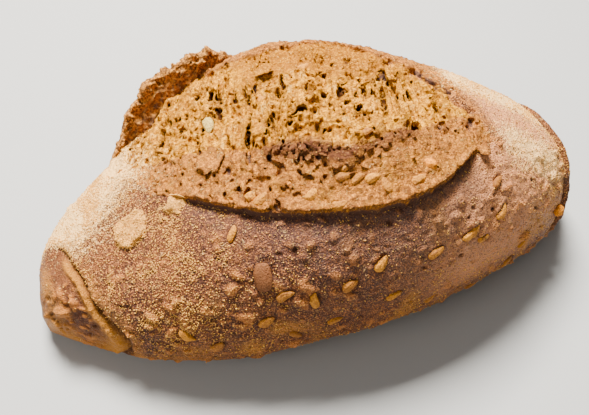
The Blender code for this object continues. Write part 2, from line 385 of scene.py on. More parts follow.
# %% The net of the crust
CRUST_COLUMNS = 345
ROWS_BEHIND_LIP = 78
ROWS_BEFORE_LIP = 178
ROWS_OF_BELLY = 24
TIP_ANGLE = 0.11
TOP_REACH = 0.25
EVEN_SHARE = 0.4
LIP_GAP = 0.004

even = np.linspace(0, 1, CRUST_COLUMNS)
along = EVEN_SHARE * np.pi * even + (1 - EVEN_SHARE) * np.arccos(1 - 2 * even)
along = TIP_ANGLE + (np.pi - 2 * TIP_ANGLE) * along / np.pi
column_x = -LENGTH / 2 * np.cos(along)
front_y, back_y = side_edges(along)
lip_level = np.clip((2 * lip_y(column_x) - front_y - back_y) / (back_y - front_y), -0.93, 0.93)
lip_angle = np.arccos(np.sign(lip_level) * np.abs(lip_level) ** (1 / SHOULDER_SQUARENESS))
toward_lip = 1 - (1 - np.linspace(0, 1, ROWS_BEHIND_LIP)) ** 1.5
from_lip = np.linspace(0, 1, ROWS_BEFORE_LIP) ** 1.1
under = np.linspace(0, 1, ROWS_OF_BELLY + 2)[1:-1]
start, stop = -TOP_REACH, np.pi + TOP_REACH
rows = [start + (lip_angle[:, None] - start) * toward_lip]
rows.append(lip_angle[:, None] + LIP_GAP + (stop - LIP_GAP - lip_angle[:, None]) * from_lip)
rows.append(np.broadcast_to(stop + (np.pi - 2 * TOP_REACH) * under, (CRUST_COLUMNS, ROWS_OF_BELLY)))
around = np.concatenate(rows, axis=1)
before_lip = np.zeros_like(around)
before_lip[:, ROWS_BEHIND_LIP:] = 1
net_along = np.broadcast_to(along[:, None], around.shape)
base = smooth_loaf(net_along, around)
normal = outward(net_along, around)
print("The crust's net has", around.size, "points")

# %% [markdown]
# ## The relief of the crust
#
# Fermented dough is never flat: there are broad swells, long lumps where seeds lie just under
# the skin, fine blisters, and small pits where bubbles burst. Each is a bump or a dent of known
# width and height. They are added up as a height along the outward direction. Lumps that stand out
# are listed, by X, degrees around, radius in millimetres and length in radii; the rest are
# scattered.

# %% Placing humps
def around_at(x, y):
    """The around angle of a place in plan, on the upper side."""
    front, back = side_edges(along_at(x))
    level = np.clip((2 * y - front - back) / (back - front), -0.9999, 0.9999)
    return np.arccos(np.sign(level) * np.abs(level) ** (1 / SHOULDER_SQUARENESS))


def scatter(draw, count, along_limits, around_limits):
    """Random places on the smooth loaf and a random direction along it at each."""
    chosen_along = np.radians(draw.uniform(*along_limits, count))
    chosen_around = np.radians(draw.uniform(*around_limits, count))
    places = smooth_loaf(chosen_along, chosen_around)
    normals = outward(chosen_along, chosen_around)
    headings = np.cross(normals, draw.normal(size=(count, 3)))
    return places, headings / np.linalg.norm(headings, axis=1, keepdims=True)


def add_domes(points, places, headings, radii, lengths, heights):
    """The sum of many long humps, each with its place, direction, radius, length and height."""
    total = np.zeros(points.shape[:-1])
    for place, heading, radius, length, height in zip(places, headings, radii, lengths, heights):
        near = np.abs(points[..., 0] - place[0]) < radius * length
        offset = points[near] - place
        run = offset @ heading
        apart = np.sum(offset**2, axis=-1) - run**2 * (1 - 1 / length**2)
        total[near] += height * np.maximum(0, 1 - apart / radius**2) ** 1.5
    return total


print("The lip's middle lies", round(math.degrees(float(around_at(0.0, lip_y(0.0))))), "degrees around")

# %% Lumps and pits
SHOWN_LUMPS = (
    (-0.059, 144, 4.0, 1.3), (-0.032, 153, 3.4, 1.2), (-0.019, 155, 3.2, 2.0), (-0.016, 140, 3.0, 1.2),
    (-0.002, 145, 3.0, 1.4), (-0.059, 125, 2.0, 1.3), (-0.071, 150, 2.6, 1.3), (-0.033, 136, 2.8, 1.2),
    (-0.034, 127, 2.2, 1.4), (-0.011, 151, 3.2, 1.5), (0.028, 147, 2.4, 1.2), (0.049, 158, 3.4, 1.5),
    (0.017, 161, 2.2, 1.6), (0.036, 147, 2.4, 1.3), (0.033, 180, 2.8, 1.8), (0.044, 152, 3.0, 1.3),
    (0.057, 140, 1.8, 1.2), (-0.136, 143, 2.2, 1.2), (-0.133, 165, 2.6, 1.5),
)
LUMP_REGIONS = ((150, (22, 160), (118, 205)), (60, (22, 160), (-30, 50)), (12, (146, 162), (40, 140)))
BLISTER_REGIONS = ((700, (18, 162), (108, 205)), (160, (18, 162), (-30, 50)))
PIT_REGIONS = ((80, (15, 165), (115, 200)), (40, (15, 165), (-30, 50)))

draw = np.random.default_rng(5)
lumps = np.zeros(around.shape)
for x, degrees, radius, length in SHOWN_LUMPS:
    place = smooth_loaf(along_at(x), np.radians(degrees))
    heading = np.array((math.cos(length), -0.3, math.sin(length)))
    heading = heading / np.linalg.norm(heading)
    rise = draw.uniform(0.0009, 0.0016)
    lumps += add_domes(base, [place], [heading], [radius * MM], [length], [rise])
for count, along_limits, around_limits in LUMP_REGIONS:
    places, headings = scatter(draw, count, along_limits, around_limits)
    radii, lengths = draw.uniform(0.0014, 0.0030, count), draw.uniform(1.2, 2.4, count)
    lumps += add_domes(base, places, headings, radii, lengths, draw.uniform(0.0006, 0.0016, count))
blisters = np.zeros(around.shape)
for count, along_limits, around_limits in BLISTER_REGIONS:
    places, headings = scatter(draw, count, along_limits, around_limits)
    radii, lengths = draw.uniform(0.0009, 0.0018, count), draw.uniform(1.0, 1.6, count)
    blisters += add_domes(base, places, headings, radii, lengths, draw.uniform(0.0002, 0.0006, count))
pits = np.zeros(around.shape)
for count, along_limits, around_limits in PIT_REGIONS:
    places, headings = scatter(draw, count, along_limits, around_limits)
    radii, lengths = draw.uniform(0.0008, 0.0017, count), draw.uniform(1.0, 1.8, count)
    pits += add_domes(base, places, headings, radii, lengths, draw.uniform(0.0006, 0.0013, count))
print("Lumps reach", round(float(lumps.max()) / MM, 1), "mm")

# %% [markdown]
# At both ends the dough was tucked in, which leaves a crease: a sharp valley beside a soft roll.
# On the left it runs from the back of the tail, over its top, to the floor; on the right it is a
# shallow fold with a low rim. Both are heights that depend on the distance to a curved line.

# %% Creases at the ends
TAIL_Y = (-0.028, 0.036)
TAIL_X = (-0.106, -0.1145, -0.1165, -0.1205, -0.1265)
TAIL_FOLD_DEPTH = 0.0045
TAIL_RIM_WIDTH = 0.0026
TAIL_RIM_HEIGHT = 0.0024
END_FOLD_REACH = 0.1150
END_FOLD_LEVEL = 0.053
END_FOLD_BEND = 7.0
END_FOLD_DEPTH = 0.0022
END_STEP = 0.0016
END_RIM_HEIGHT = 0.0018


def tail_place(points):
    """How far a point lies to the right of the crease on the left end."""
    bend = 0.0010 * bumps(points, 0.010, 51)
    return points[..., 0] - read_between(TAIL_X, TAIL_Y, points[..., 1]) + bend


def tail_shown(points):
    """1 along the tail's crease, 0 past its upper end."""
    return 1 - ease(0.016, 0.030, points[..., 1])


def end_place(points):
    """How far a point lies to the left of the fold on the right end."""
    bend = 0.0010 * bumps(points, 0.010, 52)
    bow = END_FOLD_BEND * (points[..., 2] - END_FOLD_LEVEL) ** 2
    return END_FOLD_REACH - points[..., 0] - bow + bend


def end_shown(points):
    """1 along the right end's fold."""
    x, y, z = points[..., 0], points[..., 1], points[..., 2]
    return ease(0.092, 0.100, x) * (1 - ease(-0.010, 0.012, y)) * ease(0.014, 0.030, z)


def fold_relief(points):
    """Height of the two creases and of the rolled rims beside them."""
    tail, end = tail_place(points), end_place(points)
    tail_side = np.where(tail < 0, np.exp(tail / 0.008), np.exp(-tail / 0.0010))
    rim = np.exp(-(((tail + TAIL_RIM_WIDTH) / 0.0015) ** 2)) * ease(0.022, 0.008, points[..., 1])
    end_side = END_FOLD_DEPTH * np.exp(-np.abs(end) / 0.0012) + END_STEP * ease(-0.003, -0.008, end)
    end_side = end_side - END_RIM_HEIGHT * np.exp(-(((end + 0.0022) / 0.0013) ** 2))
    tail_height = -TAIL_FOLD_DEPTH * tail_side + TAIL_RIM_HEIGHT * rim
    return tail_height * tail_shown(points) - end_side * end_shown(points)


print("The creases reach", round(float(-fold_relief(base).min()) / MM, 1), "mm deep")

# %% [markdown]
# ## Seeds on the crust
#
# The dough is full of seeds: hulled sunflower kernels, shaped like drops, flat pumpkin seeds and
# a few round ones. The crust shrinks back around each into a shallow seat, darkened in the finish
# as painted shade, so their places are needed before the crust's relief is done. Each is set at its
# place in X and in degrees around the section, and turned on the crust by degrees.

# %% Where the seeds lie
SUNFLOWER = (0.0080, 0.0041, 0.0031)
PUMPKIN = (0.0125, 0.0082, 0.0040)
KERNEL = (0.0125, 0.0054, 0.0036)
PEA = (0.0052, 0.0052, 0.0048)
SLIM = (0.0072, 0.0034, 0.0026)
SEED_PROUD = 0.0002
SEAT_SPREAD = 1.5
SEAT_STEEPNESS = 2.4
SHOWN_SEEDS = (
    (PUMPKIN, -0.046, 144, 60), (SUNFLOWER, -0.040, 156, 10), (SUNFLOWER, -0.014, 162, 35),
    (SUNFLOWER, 0.000, 157, 60), (SUNFLOWER, -0.081, 164, -35), (SUNFLOWER, -0.070, 176, 40),
    (SUNFLOWER, -0.049, 167, 20), (SUNFLOWER, -0.029, 163, 80), (SUNFLOWER, 0.005, 174, 15),
    (SUNFLOWER, 0.025, 160, 25), (SUNFLOWER, 0.045, 155, 75), (SUNFLOWER, 0.061, 151, 45),
    (SUNFLOWER, 0.080, 176, 35), (PEA, 0.108, 169, 0), (SLIM, -0.021, 179, 20),
    (SLIM, -0.038, 180, -30), (SLIM, 0.073, 188, 40), (SLIM, 0.054, 201, 20), (SLIM, 0.042, 157, 10),
    (SLIM, 0.050, 161, -20), (SLIM, 0.026, 187, 50), (SLIM, 0.061, 137, 40), (SLIM, -0.052, 122, 60),
)


def lie_on(point, normal, turn, sink=0.0):
    """The axes and the place of a seed that lies on a surface."""
    side = np.cross((1.0, 0.0, 0.0), normal)
    side = side / np.linalg.norm(side)
    lengthwise = np.cross(normal, side)
    turned_axis = math.cos(turn) * lengthwise - math.sin(turn) * side
    across = -math.sin(turn) * lengthwise - math.cos(turn) * side
    place = np.asarray(point) + (SEED_PROUD - sink) * np.asarray(normal)
    return np.stack((turned_axis, across, normal)), place


seats = np.zeros(around.shape)
for size, x, degrees, turn in SHOWN_SEEDS:
    angles = along_at(x), np.radians(degrees)
    axes, place = lie_on(smooth_loaf(*angles), outward(*angles), math.radians(turn))
    seat = [size[1] / 2 * SEAT_SPREAD], [size[0] / size[1]], [1.0]
    seats += add_domes(base, [place], [axes[0]], *seat)
seats = np.clip(SEAT_STEEPNESS * seats, 0, 1)
print(len(SHOWN_SEEDS), "seeds have a seat in the crust")

# %% [markdown]
# Now the heights are added up. Semolina that clung in thick clumps adds to them, and under the
# open crumb and the skin, which are pieces of their own, the crust sinks out of sight.

# %% Swells and clumps
SWELL_HEIGHT = 0.0009
SWELL_GRAIN = 0.028
SMALL_SWELL_HEIGHT = 0.0005
SMALL_SWELL_GRAIN = 0.011
CLUMPS = ((-0.089, 0.007, 0.0085), (-0.068, 0.002, 0.0060))


def swells(points):
    """Height of the broad swells that run through the crust, the skin and the crumb."""
    broad = SWELL_HEIGHT * bumps(points, SWELL_GRAIN, 1)
    return broad + SMALL_SWELL_HEIGHT * bumps(points, SMALL_SWELL_GRAIN, 2)


def clump_amount(points):
    """1 where semolina lies in a thick clump."""
    total = 0
    for x, y, radius in CLUMPS:
        away = np.hypot(points[..., 0] - x, 1.15 * (points[..., 1] - y))
        away = away + 0.0026 * bumps(points, 0.0055, 41) + 0.0012 * bumps(points, 0.0022, 42)
        total = total + ease(radius, radius - 0.0018, away)
    return np.clip(total, 0, 1)


print("The swells reach", round(float(swells(base).max()) / MM, 1), "mm")

# %% Adding the relief up
BODY_SINK = 0.0065
COVER_SINK = 0.0024
CLUMP_HEIGHT = 0.0015
CRUST_WRINKLE_HEIGHT = 0.00045
CRUST_GRAIN_HEIGHT = 0.00026
SEAT_DEPTH = 0.0005
FADE_X = (0.127, 0.110)

upper = ease(-0.1, 0.5, np.sin(around))
torn = tear_amount(base, ragged=0.0016) * upper
cover = cover_amount(base) * upper * (1 - before_lip)
shown_lip = lip_shown(base[..., 0])
past_lip = np.abs(base[..., 1] - lip_y(base[..., 0]))
crest = LIP_CREST * np.exp(-past_lip / LIP_CREST_REACH)
drop = -LIP_DROP * np.exp(-past_lip / LIP_DROP_REACH)
wrinkles = CRUST_WRINKLE_HEIGHT * creases(base, 0.0034, 6)
wrinkles = wrinkles + CRUST_GRAIN_HEIGHT * bumps(base, 0.0017, 7)
clumps = clump_amount(base) * upper
clump_height = CLUMP_HEIGHT * clumps * (1 + 0.5 * bumps(base, 0.0020, 45))
small_relief = (wrinkles + lumps + blisters * (1 - clumps) - pits) * ease(*FADE_X, base[..., 0])
height = swells(base) + small_relief + clump_height - SEAT_DEPTH * seats
height = height + shown_lip * np.where(before_lip > 0, drop, crest) * upper + fold_relief(base)
height = height - COVER_SINK * ease(0.75, 1.0, cover) * ease(-0.0004, 0.0004, past_lip)
height = height - (BODY_SINK - COVER_SINK) * ease(0.45, 1.0, torn)
tip = np.where(base[..., 0] > 0, ease(0.10, 0.40, np.sin(net_along)), ease(0, 0.25, np.sin(net_along)))
height = height * ease(0.002, 0.014, base[..., 2]) * tip
crust_points = base + normal * height[..., None]
relief_range = [round(float(value) / MM, 1) for value in (height.min(), height.max())]
print("The crust's relief runs over", relief_range, "mm")

# %% [markdown]
# The lip is sharp because it overhangs. A height can't overhang, so points near the lip are moved
# sideways instead: the crust below it moves in under it here, and the skin's edge moves out over
# the crust once it is drawn.

# %% The lip's overhang
LIP_OVERHANG = 0.0012
LIP_OVERHANG_REACH = 0.0022
UNDERCUT_SHARE = 0.6


def lip_overhang(points):
    """How far the lip leans forward at a point of the smooth loaf."""
    past = np.abs(points[..., 1] - lip_y(points[..., 0]))
    uneven = 1 + 0.5 * bumps(points, 0.004, 43) + 0.3 * bumps(points, 0.0016, 44)
    return LIP_OVERHANG * np.exp(-past / LIP_OVERHANG_REACH) * lip_shown(points[..., 0]) * uneven


overhang = lip_overhang(base) * upper
crust_points[..., 1] += np.where(before_lip > 0, UNDERCUT_SHARE * overhang, 0)
print("The lip overhangs by up to", round(float(overhang.max()) / MM, 1), "mm")

# %% [markdown]
# ## What the colour needs to know
#
# The crust's colour changes with its place: burnt below the lip, and darker there still as
# painted shade under the overhang, tan where the skin stretched, floured at the ends, golden on the
# folds, painted lighter at the right end as painted light, and darker in pits and creases as
# painted shade. Each of these is a number from 0 to 1, kept at every point of the mesh, and the
# material blends its colours by them.

# %% Where flour and gold lie
LEFT_FLOUR = (
    ((-0.124, 0.036), (-0.096, 0.052), 0.017, 1.5),
    ((-0.108, 0.024), (-0.078, 0.034), 0.014, 0.40),
)
RIGHT_FLOUR = (
    ((0.078, 0.008), (0.112, -0.012), 0.011, 1.4),
    ((0.082, -0.034), (0.101, -0.039), 0.010, 0.95),
)


def flour_amount(points):
    """How thickly flour lies: on the left end's back slope, and on the right end's shoulder."""
    x, y, z = points[..., 0], points[..., 1], points[..., 2]
    left = lines_amount(x, y, LEFT_FLOUR)
    left = left * (1 - 0.9 * ease(-0.004, 0.004, -tail_place(points)) * ease(0.034, 0.026, y))
    right = lines_amount(x, y, RIGHT_FLOUR) * ease(0.000, 0.003, end_place(points))
    right = right + 1.2 * ease(-0.0034, -0.0050, end_place(points)) * ease(-0.050, -0.040, y)
    behind = 0.5 * ease(0.050, 0.075, y) * ease(-0.2, 0.6, bumps(points, 0.025, 61))
    return np.clip(left + right + behind, 0, 1.5) * ease(0.012, 0.030, z)


def gold_amount(points):
    """The paler, golden places: the tail's rim, the right fold and blotches low on the front."""
    tail = tail_place(points)
    rim = 1.3 * np.exp(-(((tail + TAIL_RIM_WIDTH) / 0.0016) ** 2))
    rim = rim * ease(0.022, 0.010, points[..., 1])
    fold = np.exp(-(((end_place(points) - 0.0020) / 0.0022) ** 2)) * end_shown(points)
    blotch = 0.7 * ease(0.15, 0.65, bumps(points, 0.014, 62)) * ease(-0.034, -0.052, points[..., 1])
    foot = 0.6 * ease(0.030, 0.012, points[..., 2]) * ease(-0.3, 0.4, bumps(points, 0.010, 63))
    past_valley = 0.6 * ease(-0.008, -0.013, tail) * ease(-0.7, 0.2, bumps(points, 0.009, 65))
    beside = 0.5 * np.exp(-(((tail - 0.0035) / 0.0025) ** 2)) * ease(0.012, -0.004, points[..., 1])
    return np.clip(rim + fold + blotch + foot + past_valley + beside, 0, 1)


def tail_amount(points):
    """1 on the smooth skin of the tail, left of its crease."""
    return ease(0.0005, -0.0015, tail_place(points)) * tail_shown(points)


def lit_end_amount(points):
    """Painted light: paler brown at the right end, for the stronger light that falls on it."""
    x, y, z = points[..., 0], points[..., 1], points[..., 2]
    wander = 0.010 * bumps(points, 0.020, 64)
    return ease(0.000, 0.040, x + wander) * ease(0.022, 0.050, z) * ease(-0.001, 0.004, end_place(points))


print("Flour lies on", round(100 * float((flour_amount(base) > 0.5).mean())), "percent of the crust's points")

# %% Amounts for the crust's finish
BURN_SHADE_REACH = 0.014

# The tail's crease, the right fold, the pits and the seeds' seats are darkened in the finish as painted
# shade.
crease = np.exp(-((tail_place(base) / 0.0010) ** 2)) * tail_shown(base)
crease = crease + 0.7 * np.exp(-((end_place(base) / 0.0009) ** 2)) * end_shown(base)
# The band below the lip is burnt crust and also painted shade, for the shadow under the lip's overhang.
burn_and_shade = before_lip * shown_lip * upper * np.exp(-past_lip / BURN_SHADE_REACH)
burn_and_shade = burn_and_shade * (0.55 + 0.45 * ease(-0.045, -0.010, base[..., 0]))
skin = (1 - before_lip) * ease(-0.082, -0.068, base[..., 0]) * (1 - ease(0.062, 0.084, base[..., 0]))
skin = skin * upper * ease(0.105, 0.070, base[..., 1])
amounts = {
    "flour": flour_amount(base) * (1 - 0.9 * burn_and_shade),
    "gold": gold_amount(base),
    "burn_and_shade": burn_and_shade,
    "skin": skin,
    "clump": clumps,
    "pale": lit_end_amount(base),
    "tail": tail_amount(base),
    "pit_shade": np.clip(pits / 0.0009 + crease + 0.85 * seats, 0, 1),
    "lump": ease(0.35, 0.85, lumps / 0.0012 + 0.8 * blisters / 0.0005),
}
print("The crust's finish reads", ", ".join(amounts))

# %% The crust as a piece
def net_faces(columns, count):
    """Faces of a net of columns whose points close in a ring."""
    first = np.arange(columns - 1)[:, None] * count + np.arange(count)[None, :]
    beside = np.arange(columns - 1)[:, None] * count + (np.arange(count)[None, :] + 1) % count
    quads = np.stack((first, beside, beside + count, first + count), axis=-1)
    return quads.reshape(-1, 4).tolist()


count = around.shape[1]
tips = np.stack((crust_points[0].mean(axis=0), crust_points[-1].mean(axis=0)))
tips[:, 0] = (-LENGTH / 2, LENGTH / 2)
points = np.concatenate((crust_points.reshape(-1, 3), tips))
left_tip, right_tip = len(points) - 2, len(points) - 1
last_ring = (CRUST_COLUMNS - 1) * count
faces = net_faces(CRUST_COLUMNS, count)
faces += [((i + 1) % count, i, left_tip) for i in range(count)]
faces += [(last_ring + i, last_ring + (i + 1) % count, right_tip) for i in range(count)]
tip_values = {name: np.append(value.reshape(-1), (value[0].mean(), value[-1].mean()))
              for name, value in amounts.items()}
crust = new_piece("crust", points, faces, tip_values)
print("The crust has", triangle_count(crust), "triangles")

# %% [markdown]
# ## Finishes from nodes
#
# Every colour comes from nodes that read the place on the loaf. A small helper keeps the recipes
# short: it adds a node, sets its values and joins its inputs. Distances are given in millimetres.

# %% A helper for finishes
class Finish:
    """A material, built by adding nodes one at a time."""

    def __init__(self, name):
        self.material = bpy.data.materials.new(name)
        self.material.use_nodes = True
        self.tree = self.material.node_tree
        self.shader = self.tree.nodes["Principled BSDF"]
        self.place = self.add("ShaderNodeTexCoord").outputs["Object"]

    def add(self, kind, inputs=(), **settings):
        """Add a node; inputs are values or other nodes' outputs."""
        node = self.tree.nodes.new(kind)
        for name, value in settings.items():
            setattr(node, name, value)
        for name, value in dict(inputs).items():
            self.join(value, node.inputs[name])
        return node

    def join(self, value, socket):
        """Set a socket's value, or link an output to it."""
        if isinstance(value, bpy.types.NodeSocket):
            self.tree.links.new(value, socket)
        else:
            socket.default_value = value

    def amount(self, name):
        """A number kept at the points of the mesh."""
        return self.add("ShaderNodeAttribute", attribute_name=name).outputs["Fac"]

    def sum(self, operation, first, second):
        """Add, subtract, multiply or compare two numbers."""
        return self.add("ShaderNodeMath", {0: first, 1: second}, operation=operation).outputs[0]

    def times(self, first, second):
        """Multiply two numbers."""
        return self.sum("MULTIPLY", first, second)

    def band(self, value, low, high, bottom=0.0, top=1.0):
        """Rise smoothly between two limits."""
        inputs = {"Value": value, "From Min": low, "From Max": high, "To Min": bottom, "To Max": top}
        node = self.add("ShaderNodeMapRange", inputs, interpolation_type="SMOOTHSTEP")
        return node.outputs["Result"]

    def grain(self, size_mm, detail=2.0, roughness=0.6, turn=None, stretch=1.0):
        """Cloudy noise with grains of a given size, drawn out in a direction if one is given."""
        place = self.place
        if turn is not None:
            inputs = {"Vector": place, "Rotation": (0, 0, turn), "Scale": (1, stretch, 2)}
            place = self.add("ShaderNodeMapping", inputs, vector_type="TEXTURE").outputs["Vector"]
        inputs = {"Vector": place, "Scale": 1000 / size_mm, "Detail": detail, "Roughness": roughness}
        return self.add("ShaderNodeTexNoise", inputs).outputs["Fac"]

    def cells(self, size_mm):
        """Distance to the nearest of scattered points, in parts of their spacing."""
        inputs = {"Vector": self.place, "Scale": 1000 / size_mm}
        return self.add("ShaderNodeTexVoronoi", inputs).outputs["Distance"]

    def blend(self, amount, first, second):
        """Blend two colours by an amount."""
        node = self.add("ShaderNodeMix", data_type="RGBA")
        self.join(amount, node.inputs[0])
        self.join(first, node.inputs[6])
        self.join(second, node.inputs[7])
        return node.outputs[2]

    def relief(self, height, depth_mm, before=None):
        """Shade small bumps of a given depth."""
        inputs = {"Height": height, "Distance": depth_mm * MM, "Strength": 1.0}
        if before:
            inputs["Normal"] = before
        return self.add("ShaderNodeBump", inputs).outputs["Normal"]

    def surface(self, base, roughness, gloss, bump):
        """Join the colour, the roughness and the bumps to the shader."""
        self.join(base, self.shader.inputs["Base Color"])
        self.join(roughness, self.shader.inputs["Roughness"])
        self.join(gloss, self.shader.inputs["Specular IOR Level"])
        self.join(bump, self.shader.inputs["Normal"])
        return self.material


def color(red, green, blue):
    """A colour as the shader wants it."""
    return (red, green, blue, 1.0)


def dress(piece, finish):
    """Give a piece its finish and tell the frame what it stands for."""
    piece.data.materials.append(finish)
    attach(piece, "root")
    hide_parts("loaf")


# %% [markdown]
# ## The crust's finish
#
# Baked crust is dark where it faced the heat and paler where the dough opened late, and the right
# end is painted paler, as painted light for the stronger light that falls there. It is matt, a
# little glossy where the starch gelled, and dusted with semolina: sparse bright specks on the
# front, a pale cracked film on the ends. The layers go on in the order that a baker would see
# them form, with painted light and shade among them: base colour with the painted light at the
# right end, stretched skin, gold, the burnt band with painted shade under the lip, painted shade
# in pits, creases and seed seats, then flour on top.

# %% Crust colours
CRUST_DARK = color(0.038, 0.010, 0.004)
CRUST_BROWN = color(0.098, 0.030, 0.013)
CRUST_RUST = color(0.185, 0.060, 0.018)
CRUST_LIGHT = color(0.620, 0.225, 0.060)
CRUST_LIT_PALE = color(0.720, 0.290, 0.110)
CRUST_GOLD = color(0.540, 0.210, 0.014)
CRUST_LUMP = color(0.520, 0.175, 0.026)
SKIN_PALE = color(0.900, 0.330, 0.040)
SKIN_TAN = color(0.470, 0.172, 0.030)
SKIN_BROWN = color(0.135, 0.045, 0.015)
FLOUR_WHITE = color(0.990, 0.600, 0.215)
CLUMP_GOLD = color(0.400, 0.215, 0.016)
BURNT_AND_SHADE = color(0.110, 0.060, 0.050)
SEMOLINA = color(0.950, 0.480, 0.075)


# %% The crust's layers
def skin_color(finish, mottle):
    """Tan stretched skin with pale grains, mottled with brown."""
    tan = finish.blend(finish.band(mottle, 0.40, 0.64), SKIN_TAN, SKIN_BROWN)
    tan = finish.blend(finish.band(finish.grain(0.9, 3, 0.75), 0.50, 0.60, 0.0, 0.75), tan, SKIN_BROWN)
    grains = finish.band(finish.grain(0.7, 2, 0.6), 0.53, 0.60)
    light = finish.times(grains, finish.band(mottle, 0.62, 0.42))
    return finish.blend(finish.times(light, 0.8), tan, SKIN_PALE)


def floured(finish, base, mottle, fine):
    """Lay flour over a colour as its amount says, in grains and cracked patches."""
    film = finish.sum("ADD", finish.amount("flour"), finish.band(mottle, 0.3, 0.7, -0.30, 0.30))
    film = finish.sum("ADD", film, finish.band(fine, 0.3, 0.7, -0.40, 0.40))
    film = finish.band(film, 0.30, 0.95)
    return finish.blend(finish.times(film, 0.96), base, FLOUR_WHITE), film


def crust_finish():
    """Brown baked crust with tan skin, gold folds, a burnt band, flour, and painted shade and light."""
    finish = Finish("crust")
    cloud = finish.grain(18, 3)
    mottle = finish.grain(3.2, 4, 0.7)
    fine = finish.grain(0.70, 2, 0.6)
    pale = finish.amount("pale")
    smooth = finish.band(finish.amount("tail"), 0.0, 1.0, 1.0, 0.25)
    base = finish.blend(finish.band(cloud, 0.38, 0.62), CRUST_BROWN, CRUST_RUST)
    # Painted light: the right end is made paler and less darkly mottled, for the light that falls on it.
    base = finish.blend(finish.times(pale, 0.95), base, CRUST_LIT_PALE)
    dark = finish.times(finish.band(mottle, 0.47, 0.66, 0.0, 0.55), finish.band(pale, 0.0, 1.0, 1.0, 0.4))
    base = finish.blend(dark, base, CRUST_DARK)
    base = finish.blend(finish.times(finish.amount("lump"), 0.85), base, CRUST_LUMP)
    base = finish.blend(finish.band(finish.amount("skin"), 0.25, 0.75), base, skin_color(finish, mottle))
    base = finish.blend(finish.times(finish.amount("gold"), 0.8), base, CRUST_GOLD)
    base = finish.blend(finish.times(finish.band(fine, 0.48, 0.38, 0.0, 0.7), smooth), base, CRUST_DARK)
    light = finish.times(finish.band(fine, 0.54, 0.62), finish.band(mottle, 0.64, 0.42, 0.25, 0.85))
    base = finish.blend(finish.times(light, smooth), base, CRUST_LIGHT)
    # The burnt band under the lip, darkened as burnt crust and as painted shade under the overhang.
    burnt_and_shade = finish.times(finish.amount("burn_and_shade"), finish.band(mottle, 0.25, 0.60, 0.5, 1.0))
    base = finish.blend(burnt_and_shade, base, BURNT_AND_SHADE)
    # Painted shade in the pits, the creases and the seats around seeds.
    base = finish.blend(finish.times(finish.amount("pit_shade"), 0.8), base, CRUST_DARK)
    base, film = floured(finish, base, mottle, fine)
    clump = finish.band(finish.amount("clump"), 0.3, 0.8)
    gold = finish.blend(finish.band(fine, 0.56, 0.40, 0.0, 0.9), CLUMP_GOLD, CRUST_BROWN)
    base = finish.blend(clump, base, gold)
    rough = finish.band(finish.sum("ADD", fine, film), 0.2, 1.2, 0.42, 0.80)
    bump = finish.relief(finish.grain(2.2, 4, 0.7), 1.4)
    bump = finish.relief(fine, 1.2, bump)
    return finish.surface(base, rough, 0.18, bump)


dress(crust, crust_finish())
print("The crust's finish has", len(crust.data.materials[0].node_tree.nodes), "nodes")

# %% [markdown]
# ## The torn top
#
# Torn crumb is a sponge: ridges and strands stretched the way the dough opened, craters with
# thin rims, and deep holes. Such a surface folds over itself, so it is built as a volume: a
# block of small cells, each holding its distance to the surface, negative inside. Bubbles are
# cut out and strands added by changing these distances, and one mesh is then drawn around it.
# The stretched skin between the crumb and the lip is made in the same block, with gentler relief.

# %% The block of cells
CELL = 0.00045
TOP_LOW = np.array((-0.098, -0.050, 0.040))
TOP_HIGH = np.array((0.082, 0.090, 0.1125))
TOP_THICKNESS = 0.008
HIDDEN_SINK = -0.010


def cell_axes(low, high, cell):
    """The X, Y and Z of a block's cells."""
    return [np.arange(start, stop, cell) for start, stop in zip(low, high)]


def height_over_loaf(x, y, z):
    """First-order distance above the upper side of the smooth loaf."""
    front, back = side_edges(along_at(x))
    top = top_height(along_at(x))
    belly = WIDEST_AT * top
    half = (back - front) / 2
    level = np.abs(y - (front + back) / 2) / half
    rise = np.maximum(z - belly, 1e-6) / (top - belly)
    level_power, rise_power = 2 / SHOULDER_SQUARENESS, 2 / DOME_SQUARENESS
    value = level**level_power + rise**rise_power - 1
    level_slope = level_power * level ** (level_power - 1) / half
    rise_slope = rise_power * rise ** (rise_power - 1) / (top - belly)
    return value / np.sqrt(level_slope**2 + rise_slope**2 + 1.0)


top_x, top_y, top_z = cell_axes(TOP_LOW, TOP_HIGH, CELL)
plan_x, plan_y = np.meshgrid(top_x, top_y, indexing="ij")
plan = smooth_loaf(along_at(plan_x), around_at(plan_x, plan_y))
columns = (plan_x[:, :, None], plan_y[:, :, None], top_z[None, None, :])
over = height_over_loaf(*(value.astype(np.float32) for value in columns)).astype(np.float32)
print("The block has", over.size, "cells")

# %% [markdown]
# The plan of the tear gets its heights first: broad swells and crags as on the solid, the crack
# and the shredded ridge. The skin keeps the height of the crust around it.

# %% Heights of the crumb and the skin
STRAND_LINES = (
    ((-0.034, 0.000), (-0.020, 0.045), 0.016, 1.0),
    ((0.026, -0.016), (0.044, 0.010), 0.013, 1.0),
)
SHRED_LINES = (
    (SHRED_LEFT, SHRED_RIGHT, SHRED_RADIUS, 1.0),
    (SHRED_RIGHT, (0.028, -0.026), 0.0040, 0.8),
)
BROAD_CRAG_HEIGHT = 0.0024
SMALL_CRAG_HEIGHT = 0.0013
EDGE_CREST = 0.0005
SKIN_FOLD_HEIGHT = 0.0007
SKIN_PROUD = 0.0002


def strand_amount(x, y):
    """1 where the crumb is drawn out into strands: left of the middle and right of it."""
    return np.clip(lines_amount(x, y, STRAND_LINES), 0, 1)


def shred_amount(x, y):
    """1 along the shredded ridge in front of the open crumb."""
    return np.clip(lines_amount(x, y, SHRED_LINES), 0, 1)


